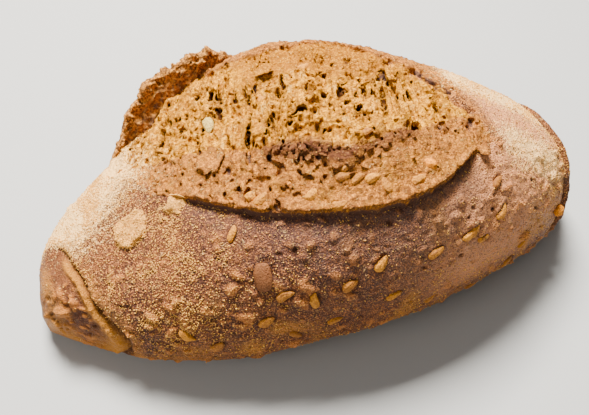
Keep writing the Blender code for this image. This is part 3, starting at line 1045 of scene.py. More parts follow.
def crumb_height(points):
    """Height of the broad crags, the crack and the ridge above the smooth loaf."""
    x, y = points[..., 0], points[..., 1]
    height = swells(points) + BROAD_CRAG_HEIGHT * bumps(points, 0.013, 3)
    height = height + SMALL_CRAG_HEIGHT * bumps(points, 0.006, 4) - TEAR_SINK
    crack = from_line(x, y, CRACK_BACK, CRACK_FRONT, CRACK_RADIUS) * ease(-0.5, 0.4, bumps(points, 0.007, 28))
    height = height - CRACK_DEPTH * crack
    return height + SHRED_HEIGHT * from_line(x, y, SHRED_LEFT, SHRED_RIGHT, SHRED_RADIUS)


def skin_height(points):
    """Height of the stretched skin: the crust's swells, the lip's crest and gentle folds."""
    x, y = points[..., 0], points[..., 1]
    away = np.abs(y - lip_y(x))
    crest = LIP_CREST * np.exp(-away / LIP_CREST_REACH) + EDGE_CREST * np.exp(-away / 0.0020)
    inland = ease(0.0, 0.006, y - lip_y(x))
    folds = SKIN_FOLD_HEIGHT * bumps(points, 0.007, 26) * inland
    return swells(points) + crest * lip_shown(x) + folds + 0.0015 * shred_amount(x, y) + SKIN_PROUD


def broad_height(points, opened):
    """Height of the crumb where it is open, and of the skin where it is not."""
    return opened * crumb_height(points) + (1 - opened) * skin_height(points)


def open_amount(points):
    """1 on the open crumb and 0 on the skin, with a ragged border."""
    return ease(0.15, 0.90, tear_amount(points, ragged=0.0022, spread=0.0012))


# %% Broad heights of the torn top
TEAR_TURN = math.radians(-22)
SKIN_ROUGHNESS = 0.36
SHRED_ROUGHNESS = 0.75

open_here = open_amount(plan)
cover_here = cover_amount(plan)
broad = broad_height(plan, open_here)
closed_back = back_skin(plan_x, plan_y)
roughness_here = SKIN_ROUGHNESS + (1 - SKIN_ROUGHNESS) * open_here * (1 - 0.5 * closed_back)
roughness_here = np.maximum(roughness_here, SHRED_ROUGHNESS * shred_amount(plan_x, plan_y))
roughness_here = roughness_here * (0.7 + 0.3 * ease(0.0, 0.003, plan_y - lip_y(plan_x)))
top_here = HIDDEN_SINK + ease(0.0, 0.6, cover_here) * (broad - HIDDEN_SINK)
block = over - top_here[:, :, None].astype(np.float32)
print("Broad heights reach", round(float(broad.max()) / MM, 1), "mm above the smooth loaf")

# %% [markdown]
# Bubbles are egg-shaped holes of many sizes, longest the way the dough opened. A thin shell is
# left around some of them where they meet the surface, as the gluten skin of a burst bubble is.
# To cut one, only the few cells around it are changed, which keeps thousands of them quick.

# %% Places and directions in the tear
def tear_direction(turn, lift):
    """A direction near the one the dough opened in, turned and lifted by angles."""
    heading = math.pi / 2 + TEAR_TURN + turn
    flat = math.cos(lift)
    return np.array((math.cos(heading) * flat, math.sin(heading) * flat, math.sin(lift)))


def top_point(x, y, rise):
    """A point of the torn top's broad surface, raised or sunk by a height."""
    along, around = along_at(x), around_at(x, y)
    point, normal = smooth_loaf(along, around), outward(along, around)
    opened = float(ease(0.15, 0.90, tear_amount(point)))
    return point + normal * (float(broad_height(point, opened)) + rise), normal


print("The crumb opened along", [round(float(part), 2) for part in tear_direction(0, 0)])


# %% Cutting and adding in a block
def part_of_block(low, cell, shape, centre, reach):
    """The slices of a block around a centre, and the offsets of their cells from it."""
    first = np.maximum(((centre - low - reach) / cell).astype(int), 0)
    last = np.minimum(((centre - low + reach) / cell).astype(int) + 2, shape)
    if np.any(last <= first):
        return None, None
    axes = [low[i] + cell * np.arange(first[i], last[i]) - centre[i] for i in range(3)]
    slices = tuple(slice(first[i], last[i]) for i in range(3))
    return slices, np.stack(np.meshgrid(*axes, indexing="ij"), axis=-1)


def cut_bubble(block, low, cell, centre, radius, length, heading, rim=None):
    """Cut an egg-shaped hole; a rim, if given, stands that much proud as a thin shell."""
    slices, offset = part_of_block(low, cell, block.shape, centre, radius * max(1.0, length) + 3 * cell)
    if slices is None:
        return
    run = offset @ heading
    off_axis = np.sum(offset**2, axis=-1) - run**2
    inside = (np.sqrt(np.maximum(off_axis + (run / length) ** 2, 0)) - radius).astype(np.float32)
    here = block[slices]
    hollow = np.maximum(here, -inside)
    if rim is not None:
        hollow = np.minimum(hollow, np.maximum(np.abs(inside) - 0.6 * cell, here - rim))
    block[slices] = hollow


def add_strand(block, low, cell, start, end, radius):
    """Add a thin round strand between two points."""
    reach = np.linalg.norm(end - start) / 2 + radius + 2 * cell
    slices, offset = part_of_block(low, cell, block.shape, (start + end) / 2, reach)
    if slices is None:
        return
    run = end - start
    place = np.clip(offset @ run / run.dot(run), -0.5, 0.5)
    away = np.linalg.norm(offset - place[..., None] * run, axis=-1) - radius
    block[slices] = np.minimum(block[slices], away.astype(np.float32))


def add_flake(block, low, cell, centre, facing, radius, curl=0.0):
    """Add a thin round flake that faces a direction and curls up at its edge."""
    slices, offset = part_of_block(low, cell, block.shape, centre, radius + 3 * cell)
    if slices is None:
        return
    facing = facing / np.linalg.norm(facing)
    rise = offset @ facing
    flat = np.sqrt(np.maximum(np.sum(offset**2, axis=-1) - rise**2, 0))
    flat = flat + 0.35 * radius * bumps(offset + centre, 0.0016, 76)
    away = np.maximum(flat - radius, np.abs(rise - curl * flat**2) - 0.75 * cell)
    block[slices] = np.minimum(block[slices], away.astype(np.float32))

# %% [markdown]
# The deepest holes are listed where they show, and so are the small round ones in the skin,
# each by X, Y and radius in millimetres. The crags of the next step would blur them, so they are
# cut after it.

# %% Holes that are listed
DEEP_HOLES = (
    (-0.008, 0.003, 2.6), (-0.013, 0.011, 1.8), (-0.007, -0.014, 1.6), (0.012, 0.016, 1.6),
    (0.012, -0.001, 2.0), (0.016, -0.006, 2.1), (0.026, 0.004, 1.5), (0.023, -0.006, 1.4),
    (0.040, -0.005, 1.4), (0.033, -0.023, 2.3), (-0.015, -0.001, 2.0), (-0.024, 0.005, 1.6),
    (-0.026, 0.028, 1.3), (-0.033, 0.061, 1.8), (0.019, -0.024, 1.4), (-0.031, 0.004, 1.3),
    (-0.020, -0.004, 1.6), (0.004, 0.006, 1.6), (0.055, 0.006, 2.4), (0.058, 0.000, 1.6),
    (0.062, -0.006, 1.9), (0.066, -0.012, 2.5), (0.069, -0.016, 1.6), (-0.004, -0.027, 2.0),
)
SKIN_HOLES = (
    (-0.048, -0.011, 2.0), (-0.012, -0.029, 1.5), (-0.002, -0.034, 1.4), (0.010, -0.033, 1.3),
    (0.023, -0.042, 1.3), (0.033, -0.041, 1.2), (0.043, -0.033, 1.2), (0.050, -0.028, 1.1),
    (0.057, -0.030, 1.1), (-0.060, 0.012, 1.2), (-0.066, 0.022, 1.5), (-0.031, -0.012, 1.5),
)
print(len(DEEP_HOLES) + len(SKIN_HOLES), "holes are set by hand")

# %% Bubbles
BUBBLE_COUNT = 1500
SMALLEST_BUBBLE = 0.0006
LARGEST_BUBBLE = 0.0024
BUBBLE_SPREAD = 0.00045
BUBBLE_RIM = 0.0003
RIMMED_SHARE = 0.6
SKIN_BUBBLE_COUNT = 420

draw = np.random.default_rng(81)
for i in range(BUBBLE_COUNT):
    x, y = draw.uniform(-0.092, 0.070), draw.uniform(-0.030, 0.078)
    radius = min(SMALLEST_BUBBLE + draw.exponential(BUBBLE_SPREAD), LARGEST_BUBBLE)
    length, turn = draw.uniform(1.1, 2.6), draw.normal(0, 0.3)
    sink, rimmed = draw.uniform(-0.3, 0.8), draw.uniform()
    front, back = side_edges(along_at(x))
    if not front < y < back - 0.002 or draw.uniform() < 0.7 * back_skin(x, y):
        continue
    centre = top_point(x, y, -sink * radius)[0]
    rim = BUBBLE_RIM if rimmed < RIMMED_SHARE else None
    cut_bubble(block, TOP_LOW, CELL, centre, radius, length, tear_direction(turn, 0), rim)
for i in range(SKIN_BUBBLE_COUNT):
    x, y, radius = draw.uniform(-0.080, 0.068), draw.uniform(-0.046, 0.070), draw.uniform(0.0004, 0.0009)
    length, turn = draw.uniform(1.0, 2.0), draw.uniform(0, math.pi)
    if lip_y(x) + 0.0012 < y < side_edges(along_at(x))[1] - 0.012:
        cut_bubble(block, TOP_LOW, CELL, top_point(x, y, 0)[0], radius, length, tear_direction(turn, 0))
print("Up to", BUBBLE_COUNT + SKIN_BUBBLE_COUNT, "bubbles are cut")

# %% [markdown]
# Then the crags. They are added to the distances near the surface, in all three directions, so
# that they can overhang, and the walls of the bubbles are roughened too. Long ridges run the way
# the dough opened; finer ones run every way. On the shredded ridge they run along the lip.

# %% Crags
RIDGE_HEIGHT = 0.0030
CRAG_HEIGHT = 0.0014
FINE_CRAG_HEIGHT = 0.0012
GRIT_HEIGHT = 0.0007
SHRED_WRINKLE_HEIGHT = 0.0018
CRAG_REACH = 0.0032


def turned(points, turn, stretch):
    """Turn points so that Y runs in a direction of the plan, and squeeze that direction."""
    across = points[..., 0] * math.cos(turn) + points[..., 1] * math.sin(turn)
    lengthwise = points[..., 1] * math.cos(turn) - points[..., 0] * math.sin(turn)
    return np.stack((across, lengthwise / stretch, points[..., 2] / 2), axis=-1)


near = np.nonzero(np.abs(block) < CRAG_REACH)
spots = np.stack([axis[index] for axis, index in zip((top_x, top_y, top_z), near)], axis=-1)
rough = roughness_here[near[0], near[1]]
drawn = strand_amount(spots[:, 0], spots[:, 1])
ridges = creases(turned(spots, TEAR_TURN, 5), 0.0022, 71) ** 2 - 0.45
crags = RIDGE_HEIGHT * (0.5 + 0.5 * drawn) * ridges
crags = crags + CRAG_HEIGHT * (1 - 0.7 * drawn) * (creases(spots, 0.0036, 72) ** 2 - 0.45)
crags = crags + FINE_CRAG_HEIGHT * (creases(spots, 0.0019, 73) - 0.6)
crags = crags + GRIT_HEIGHT * bumps(spots, 0.0011, 74)
shredded = shred_amount(spots[:, 0], spots[:, 1])
wrinkles = creases(turned(spots, TEAR_TURN + math.pi / 2, 4), 0.0020, 75) ** 2 - 0.4
crags = crags * (1 - 0.5 * shredded) + SHRED_WRINKLE_HEIGHT * shredded * wrinkles
block[near] -= (rough * crags).astype(np.float32)
print("Crags were added at", len(spots), "cells")

# %% Cutting the listed holes
SKIN_HOLE_RIM = 0.0004

for x, y, radius in DEEP_HOLES:
    heading = tear_direction(draw.normal(0, 0.3), 0.5)
    radius = radius * MM
    centre = top_point(x, y, -0.6 * radius)[0]
    cut_bubble(block, TOP_LOW, CELL, centre, radius, draw.uniform(1.0, 1.6), heading)
    deeper = centre + np.array((0, 0.3, -1.0)) * radius
    cut_bubble(block, TOP_LOW, CELL, deeper, radius, 1.2, heading)
for x, y, radius in SKIN_HOLES:
    radius = radius * MM
    centre = top_point(x, y, -0.4 * radius)[0]
    heading = tear_direction(draw.normal(0, 1), 0)
    cut_bubble(block, TOP_LOW, CELL, centre, radius, 1.1, heading, rim=SKIN_HOLE_RIM)
    deeper = centre + np.array((0, 0, -1.2)) * radius
    cut_bubble(block, TOP_LOW, CELL, deeper, radius, 1.0, heading)

# %% [markdown]
# Strands bridge the holes, and flakes of torn skin stand along the ridge. Two flakes are as big
# as a fingernail: one on the skin near the lip, one at the back of the crumb. A big flake is given
# by its X, Y and radius, and by how far it tips to the side.

# %% Strands
STRAND_COUNT = 1100

for i in range(STRAND_COUNT):
    x, y = draw.uniform(-0.085, 0.060), draw.uniform(-0.028, 0.070)
    turn, lift, run = draw.normal(0, 0.25), draw.normal(0, 0.12), draw.uniform(0.003, 0.010)
    kept, sink, radius = draw.uniform(), draw.uniform(-0.0008, 0.0006), draw.uniform(0.00026, 0.00042)
    front, back = side_edges(along_at(x))
    if not front < y < back - 0.004 or kept > 0.20 + strand_amount(x, y):
        continue
    if tear_amount(np.array((x, y, 0)), spread=-0.003) < 0.5:
        continue
    half_run = tear_direction(turn, 0) * run / 2
    ends = [top_point(x + sign * half_run[0], y + sign * half_run[1], -sink)[0] for sign in (-1, 1)]
    ends[1][2] += lift * run
    add_strand(block, TOP_LOW, CELL, ends[0], ends[1], radius)
print("Strands were drawn from", STRAND_COUNT, "places")

# %% Flakes
BIG_FLAKES = (
    (-0.0475, 0.0065, 0.0062, (-0.14, 0.06)), (-0.011, 0.036, 0.0046, (0.16, -0.16)),
    (-0.001, -0.029, 0.0026, (0.5, 0.6)), (0.004, -0.027, 0.0024, (-0.4, 0.7)),
    (0.017, -0.021, 0.0024, (0.5, 0.4)), (0.058, -0.037, 0.0030, (0.6, -0.4)),
)
BIG_FLAKE_RISE = 0.0020
BIG_FLAKE_CURL = 6.0
SHRED_FLAKE_COUNT = 80

for x, y, radius, tip in BIG_FLAKES:
    centre, facing = top_point(x, y, BIG_FLAKE_RISE)
    add_flake(block, TOP_LOW, CELL, centre, facing - np.array((*tip, 0)), radius, BIG_FLAKE_CURL)
for i in range(SHRED_FLAKE_COUNT):
    share, side, radius = draw.uniform(), draw.normal(0, 0.0035), draw.uniform(0.0008, 0.0018)
    x = SHRED_LEFT[0] + (0.030 - SHRED_LEFT[0]) * share
    y = max(SHRED_LEFT[1] - 0.83 * (x - SHRED_LEFT[0]), -0.0245) + side
    centre, facing = top_point(x, y, draw.uniform(0.0, 0.0010))
    add_flake(block, TOP_LOW, CELL, centre, facing + draw.normal(0, 0.9, 3), radius, draw.uniform(0, 120))
block = np.maximum(block, -(over + TOP_THICKNESS))
print(len(BIG_FLAKES) + SHRED_FLAKE_COUNT, "flakes are in")

# %% [markdown]
# The mesh is drawn where the distances cross zero, then thinned to a given count of triangles.
# Thinning can fold a few faces onto each other, and validate drops those. The colours need to
# know how high each point stands, and whether it is an edge or a hollow: edges of torn crumb toast
# first and get a painted highlight, and hollows and deep holes get painted shade.

# %% Drawing a mesh around a block
def draw_mesh(name, block, low, cell, limit):
    """A mesh at the zero level of a block of distances, thinned to a limit of triangles."""
    grid = openvdb.FloatGrid(0.01)
    grid.copyFromArray(block)
    spots, triangles, quads = grid.convertToPolygons(isovalue=0.0, adaptivity=0.0)
    piece = new_piece(name, (spots * cell + low).tolist(), triangles.tolist() + quads[:, ::-1].tolist())
    total = triangle_count(piece)
    if total > limit:
        thinned = piece.modifiers.new("thinned", "DECIMATE")
        thinned.ratio = limit / total
        bpy.context.view_layer.update()
        shaped = piece.evaluated_get(bpy.context.evaluated_depsgraph_get())
        mesh = bpy.data.meshes.new_from_object(shaped)
        mesh.validate()
        piece.modifiers.clear()
        piece.data = mesh
    print(name, "was drawn with", total, "triangles and kept", triangle_count(piece))
    return piece


def point_values(piece, name):
    """A value of three numbers at each point of a piece, as an array."""
    flat = np.empty(3 * len(piece.data.vertices))
    piece.data.vertices.foreach_get(name, flat)
    return flat.reshape(-1, 3)


def edge_amount(piece, rounds=2):
    """How far each point stands out from its neighbours: positive on edges, negative in hollows."""
    ends = np.empty(2 * len(piece.data.edges), dtype=int)
    piece.data.edges.foreach_get("vertices", ends)
    first, second = ends.reshape(-1, 2).T
    points = point_values(piece, "co")
    shares = np.maximum(np.bincount(np.concatenate((first, second)), minlength=len(points)), 1)
    smooth = points
    for _ in range(rounds):
        total = np.zeros_like(points)
        np.add.at(total, first, smooth[second])
        np.add.at(total, second, smooth[first])
        smooth = total / shares[:, None]
    return np.sum((points - smooth) * point_values(piece, "normal"), axis=1)


# %% The torn top's mesh
TOP_TRIANGLES = 384000
STANDS_SPAN = 0.005
EDGE_SPAN = 0.0006

top = draw_mesh("top", block, TOP_LOW, CELL, TOP_TRIANGLES)
points = point_values(top, "co")
x, y = points[:, 0], points[:, 1]
on_plan = smooth_loaf(along_at(x), around_at(x, y))
opened = open_amount(on_plan)
level = broad_height(on_plan, opened)
level = level + 0.4 * CRACK_DEPTH * from_line(x, y, CRACK_BACK, CRACK_FRONT, CRACK_RADIUS)
stands = height_over_loaf(x, y, points[:, 2]) - level
skin = (1 - opened) + 0.35 * back_skin(x, y) + 0.85 * shred_amount(x, y)
values = {
    "stands": np.clip(0.5 + stands / STANDS_SPAN, 0, 1),
    "edge": np.clip(0.5 + edge_amount(top) / EDGE_SPAN, 0, 1),
    "skin": np.clip(skin + 0.25 * bumps(on_plan, 0.006, 27), 0, 1),
    "shred": shred_amount(x, y),
    "closed": back_skin(x, y) * opened,
    "flour": flour_amount(on_plan),
}
leaning = points.copy()
leaning[:, 1] -= lip_overhang(on_plan) * ease(-0.0030, -0.0006, stands)
top.data.vertices.foreach_set("co", leaning.reshape(-1))
print("The top stands", [round(float(value) / MM, 1) for value in np.percentile(stands, (1, 50, 99))], "mm")

# %% [markdown]
# The one mesh is parted into two pieces, the open crumb and the skin around it, so that each has
# its own material and neither is too heavy.

# %% Parting the top
def part_mesh(piece, name, kept, values):
    """A new piece with the faces for which kept is true, and the values of its points."""
    faces = [tuple(face.vertices) for face, keep in zip(piece.data.polygons, kept) if keep]
    used = np.unique(np.concatenate([np.array(face) for face in faces]))
    place = np.full(len(piece.data.vertices), -1)
    place[used] = np.arange(len(used))
    points = point_values(piece, "co")[used]
    faces = [tuple(int(place[i]) for i in face) for face in faces]
    kept_values = {title: value[used] for title, value in values.items()}
    return new_piece(name, points.tolist(), faces, kept_values)


centres = np.array([points[list(face.vertices)].mean(axis=0) for face in top.data.polygons])
crumb_side = tear_amount(centres, spread=-0.0012) > 0.5
crumb_side = crumb_side & (back_skin(centres[:, 0], centres[:, 1]) < 0.1)
crumb = part_mesh(top, "crumb", crumb_side, values)
skin_piece = part_mesh(top, "skin", ~crumb_side, values)
bpy.data.objects.remove(top)
print("The crumb has", triangle_count(crumb), "triangles, the skin", triangle_count(skin_piece))

# %% [markdown]
# ## The crumb's finish
#
# Durum crumb is golden. Its tips toast to orange brown and get a painted highlight, and the walls
# of burst bubbles are cream and let light through. The hollows and the holes between them are
# painted dark, as painted shade. Where the crumb runs into the stretched skin, it takes on the
# skin's tan, with painted shade in the skin's hollows. The shredded ridge is the darkest, almost
# purple.

# %% Crumb colours
CRUMB_GOLD = color(0.520, 0.215, 0.004)
CRUMB_PALE = color(0.980, 0.430, 0.010)
CRUMB_TOAST_AND_SHADE = color(0.210, 0.078, 0.009)
CRUMB_BAKED = color(0.310, 0.108, 0.004)
CRUMB_CREAM = color(0.820, 0.460, 0.100)
CRUMB_HOLE_SHADE = color(0.048, 0.014, 0.003)
SKIN_HOLE_SHADE = color(0.105, 0.050, 0.034)
SHRED_BROWN = color(0.100, 0.035, 0.018)


def top_finish(name, hole_shade_color):
    """Golden crumb with toasted tips, cream walls, painted shade in hollows and holes, painted highlights on
    edges, and tan skin around it.
    """
    finish = Finish(name)
    cloud = finish.grain(14, 3)
    mottle = finish.grain(2.6, 4, 0.7)
    fine = finish.grain(0.9, 3, 0.75)
    stands, edge, skin = finish.amount("stands"), finish.amount("edge"), finish.amount("skin")
    streak = finish.grain(1.5, 3, 0.7, turn=TEAR_TURN, stretch=6)
    base = finish.blend(finish.band(mottle, 0.42, 0.60), CRUMB_GOLD, CRUMB_PALE)
    cream = finish.times(finish.band(finish.grain(4.5, 2), 0.56, 0.64), finish.band(edge, 0.36, 0.50))
    base = finish.blend(finish.times(cream, 0.8), base, CRUMB_CREAM)
    base = finish.blend(finish.band(streak, 0.50, 0.66, 0.0, 0.75), base, CRUMB_TOAST_AND_SHADE)
    # Painted shade: points that sit low under the broad surface, and hollows, turn toast brown.
    base = finish.blend(finish.band(stands, 0.58, 0.36, 0.0, 0.85), base, CRUMB_TOAST_AND_SHADE)
    base = finish.blend(finish.band(edge, 0.46, 0.30, 0.0, 0.7), base, CRUMB_TOAST_AND_SHADE)
    # Painted highlight: edges that stand out turn pale.
    base = finish.blend(finish.band(edge, 0.54, 0.74, 0.0, 0.7), base, CRUMB_PALE)
    toast = finish.band(finish.grain(2.4, 3, 0.7), 0.50, 0.58)
    toast = finish.times(toast, finish.band(edge, 0.44, 0.56))
    base = finish.blend(finish.times(toast, 0.7), base, CRUMB_BAKED)
    base = finish.blend(finish.band(cloud, 0.50, 0.68, 0.0, 0.35), base, CRUMB_BAKED)
    base = finish.blend(finish.band(fine, 0.50, 0.40, 0.0, 0.75), base, CRUMB_TOAST_AND_SHADE)
    closed = finish.amount("closed")
    base = finish.blend(finish.times(closed, 0.75), base, CRUMB_BAKED)
    base = finish.blend(finish.times(closed, finish.band(mottle, 0.46, 0.58, 0.0, 0.7)), base, CRUMB_TOAST_AND_SHADE)
    fleck = finish.times(closed, finish.band(fine, 0.54, 0.60))
    base = finish.blend(finish.times(fleck, 0.8), base, CRUMB_PALE)
    tan = skin_color(finish, mottle)
    # Painted shade in the skin's hollows.
    tan = finish.blend(finish.band(edge, 0.48, 0.30, 0.0, 0.8), tan, SKIN_BROWN)
    tan = finish.blend(finish.times(closed, finish.band(fine, 0.60, 0.50, 0.1, 0.75)), tan, CRUMB_BAKED)
    base = finish.blend(finish.times(skin, 0.9), base, tan)
    base = finish.blend(finish.times(finish.amount("shred"), 0.9), base, SHRED_BROWN)
    # Painted shade: points deep below the broad surface take the dark hole colour.
    base = finish.blend(finish.band(stands, 0.26, 0.04), base, hole_shade_color)
    base, film = floured(finish, base, mottle, fine)
    speck = finish.times(finish.band(finish.cells(1.1), 0.28, 0.16), finish.band(cloud, 0.40, 0.65))
    base = finish.blend(finish.times(finish.times(speck, skin), 0.6), base, SEMOLINA)
    bump = finish.relief(finish.grain(1.5, 3, 0.7), 1.4)
    bump = finish.relief(fine, 0.9, bump)
    return finish.surface(base, 0.66, 0.03, bump)


dress(crumb, top_finish("crumb", CRUMB_HOLE_SHADE))
dress(skin_piece, top_finish("skin", SKIN_HOLE_SHADE))
print("The crumb's finish has", len(crumb.data.materials[0].node_tree.nodes), "nodes")

# %% [markdown]
# ## The lifted ear
#
# At the back left the upper crust was lifted clear of the crumb and baked as a standing flap:
# thick at its foot, ragged along its rim, smooth outside and knobbly inside. It is a second block
# of cells, a curved slab that follows the same stations as the solid's ear, with crags on the
# inner face and teeth along the rim.

# %% The ear's line
EAR_CELL = 0.00045
EAR_LOW = np.array((-0.096, 0.018, 0.004))
EAR_HIGH = np.array((0.000, 0.098, 0.0965))
EAR_FOOT_DROP = 0.036
EAR_FOOT_INSET = 0.009
EAR_RIM_THICKNESS = 0.0042
EAR_FOOT_THICKNESS = 0.013
EAR_BELLY = 0.004
EAR_KNOB_X = -0.025
EAR_KNOB_HEIGHT = 0.006
EAR_KNOB_WIDTH = 0.0025


def ear_line(x):
    """The rim's height and Y, and the foot's, at a place along the ear."""
    place = np.clip((x - EAR_X[0]) / (EAR_X[1] - EAR_X[0]), 0, 1)
    spot = np.stack((x, 0 * x, 0 * x), axis=-1)
    back = side_edges(along_at(x))[1]
    rim_z = read_steps(EAR_RIM_Z, place) + 0.0016 * bumps(spot, 0.005, 7)
    rim_z = rim_z + EAR_KNOB_HEIGHT * np.exp(-(((x - EAR_KNOB_X) / EAR_KNOB_WIDTH) ** 2))
    rim_y = back - read_steps(EAR_INSET, place) - EAR_RIM_THICKNESS / 2
    foot_y = back - EAR_FOOT_INSET - EAR_FOOT_THICKNESS / 2
    return rim_y, rim_z, foot_y, rim_z - EAR_FOOT_DROP


def ear_middle(rim_y, foot_y, climb):
    """Y of the ear's middle at a share of the way from its foot to its rim."""
    return foot_y + (rim_y - foot_y) * climb + EAR_BELLY * climb * (1 - climb)


print("The ear is highest at", round(float(ear_line(np.linspace(*EAR_X, 60))[1].max()) / MM, 1), "mm")

# %% The ear's block
EAR_TOOTH_HEIGHT = 0.0012
EAR_CRAG_REACH = 0.005
EAR_BUBBLE_COUNT = 170
EAR_BUBBLE_AXIS = np.array((0.3, 0.0, 0.954))

ear_x, ear_y, ear_z = cell_axes(EAR_LOW, EAR_HIGH, EAR_CELL)
cells_x, cells_y, cells_z = np.meshgrid(ear_x, ear_y, ear_z, indexing="ij", sparse=True)
rim_y, rim_z, foot_y, foot_z = (value[:, None, None] for value in ear_line(ear_x))
ear_spots = np.stack((ear_x, 0 * ear_x, 0 * ear_x), axis=-1)
teeth = EAR_TOOTH_HEIGHT * creases(ear_spots, 0.0028, 91)[:, None, None]
climb = np.clip((cells_z - foot_z) / (rim_z - foot_z), 0, 1)
middle_y = ear_middle(rim_y, foot_y, climb)
half = EAR_FOOT_THICKNESS / 2 + (EAR_RIM_THICKNESS - EAR_FOOT_THICKNESS) / 2 * climb
above_rim = np.maximum(cells_z - rim_z + half * 0.8 - teeth, 0)
below_foot = np.maximum(foot_z - cells_z, 0)
past_end = np.maximum(EAR_X[0] - cells_x, 0) + np.maximum(cells_x - EAR_X[1], 0)
slab = np.sqrt((cells_y - middle_y) ** 2 + above_rim**2 + below_foot**2 + past_end**2) - half
ear_shape = (len(ear_x), len(ear_y), len(ear_z))
ear_block = np.ascontiguousarray(np.broadcast_to(slab, ear_shape)).astype(np.float32)
near = np.abs(ear_block) < EAR_CRAG_REACH
spots = np.stack(np.nonzero(near), axis=-1) * EAR_CELL + EAR_LOW
inner = ease(0.001, -0.002, spots[:, 1] - np.broadcast_to(middle_y, ear_shape)[near])
crags = 0.0019 * bumps(spots, 0.0060, 92) + 0.0017 * creases(spots, 0.0034, 93)
crags = crags + 0.0009 * bumps(spots, 0.0015, 94)
rim_near = ease(0.72, 1.0, np.broadcast_to(climb, ear_shape)[near])
skin_side = 0.00035 * bumps(spots, 0.004, 95) + 0.00015 * bumps(spots, 0.0015, 96)
rough = np.maximum(inner, rim_near)
ear_block[near] -= (rough * (crags - 0.0009) + (1 - rough) * skin_side).astype(np.float32)
draw = np.random.default_rng(97)
for i in range(EAR_BUBBLE_COUNT):
    x, climb_here = draw.uniform(-0.088, -0.010), draw.uniform(0.25, 1.0)
    radius = draw.uniform(0.0007, 0.0017)
    rim_y, rim_z, foot_y, foot_z = ear_line(np.array(x))
    y = foot_y + (rim_y - foot_y) * climb_here - EAR_FOOT_THICKNESS / 2
    y = y + (EAR_FOOT_THICKNESS - EAR_RIM_THICKNESS) / 2 * climb_here
    centre = np.array((x, y, foot_z + (rim_z - foot_z) * climb_here))
    cut_bubble(ear_block, EAR_LOW, EAR_CELL, centre, radius, 1.5, EAR_BUBBLE_AXIS, rim=0.0)
print("Crags were added at", len(spots), "cells of the ear")

# %% The ear's mesh
EAR_TRIANGLES = 110000

ear = draw_mesh("ear", ear_block, EAR_LOW, EAR_CELL, EAR_TRIANGLES)
points = point_values(ear, "co")
rim_y, rim_z, foot_y, foot_z = ear_line(points[:, 0])
climb = np.clip((points[:, 2] - foot_z) / (rim_z - foot_z), 0, 1)
middle_y = ear_middle(rim_y, foot_y, climb)
keep_amount(ear, "inner", ease(0.0015, -0.0015, points[:, 1] - middle_y))
keep_amount(ear, "climb", climb)
keep_amount(ear, "edge", np.clip(0.5 + edge_amount(ear) / EDGE_SPAN, 0, 1))

# %% The ear's finish
EAR_BROWN = color(0.175, 0.068, 0.012)
EAR_RUST = color(0.165, 0.080, 0.038)
EAR_GOLD = color(0.620, 0.265, 0.045)


def ear_finish():
    """Browned outside, golden brown and knobbly inside, darkest on the rim, with painted shade in the inner
    hollows and low on the inner face.
    """
    finish = Finish("ear")
    mottle = finish.grain(3.0, 4, 0.7)
    inner = finish.amount("inner")
    edge = finish.amount("edge")
    outside = finish.blend(finish.band(mottle, 0.35, 0.70), EAR_BROWN, CRUST_BROWN)
    inside = finish.blend(finish.band(mottle, 0.36, 0.64), EAR_RUST, EAR_GOLD)
    # Painted shade in the hollows of the inner face.
    inside = finish.blend(finish.band(edge, 0.50, 0.30, 0.0, 0.7), inside, CRUST_BROWN)
    inside = finish.blend(finish.band(edge, 0.55, 0.80, 0.0, 0.6), inside, EAR_BROWN)
    base = finish.blend(inner, outside, inside)
    rim = finish.band(finish.amount("climb"), 0.76, 0.96)
    fine = finish.grain(1.1, 3, 0.7)
    base = finish.blend(finish.times(rim, 0.8), base, EAR_BROWN)
    base = finish.blend(finish.times(rim, finish.band(fine, 0.48, 0.60)), base, EAR_GOLD)
    base = finish.blend(finish.band(fine, 0.50, 0.36, 0.0, 0.6), base, CRUST_DARK)
    # Painted shade low on the inner face, in the gap between the ear and the crumb.
    foot_shade = finish.band(finish.amount("climb"), 0.55, 0.05, 0.0, 0.8)
    base = finish.blend(finish.times(foot_shade, inner), base, CRUST_DARK)
    return finish.surface(base, 0.68, 0.12, finish.relief(fine, 0.9))


dress(ear, ear_finish())
print("The ear's finish has", len(ear.data.materials[0].node_tree.nodes), "nodes")

# %% [markdown]
# ## The seeds
#
# One seed is a net of points: a drop or an oval, with a few soft ribs along it. The seeds of one
# kind are kept in one piece, and each has a tint, because no two are toasted alike.

# %% The shape of a seed
SEED_SEGMENTS = 26
SEED_RINGS = 15


def crust_height(point):
    """Height of the crust's broad swells and creases at a point of the smooth loaf."""
    under = lip_shown(point[0]) * (point[1] < lip_y(point[0]))
    drop = under * LIP_DROP * math.exp(-abs(point[1] - lip_y(point[0])) / LIP_DROP_REACH)
    return swells(point) + fold_relief(point) - drop


def seed_shape(size, taper, seed):
    """Points of one seed lying flat: a drop or an oval with ribs, slightly uneven."""
    ring = np.arange(SEED_SEGMENTS) * 2 * math.pi / SEED_SEGMENTS
    along_seed, around_seed = np.meshgrid(np.linspace(0, math.pi, SEED_RINGS), ring, indexing="ij")
    x = -np.cos(along_seed)
    width = np.sin(along_seed) * (1 - taper * x) * (1 + 0.06 * np.cos(7 * around_seed))
    shape = np.stack((x, width * np.cos(around_seed), width * np.sin(around_seed)), axis=-1)
    shape = shape * np.array(size) / 2
    shape[..., 1] += 0.12 * size[1] * np.sin(2.2 * x + seed)
    return shape * (1 + 0.07 * bumps(shape + 0.1 * seed, 0.0020, 101))[..., None]


print("A seed has", 2 * len(net_faces(SEED_RINGS, SEED_SEGMENTS)), "triangles")


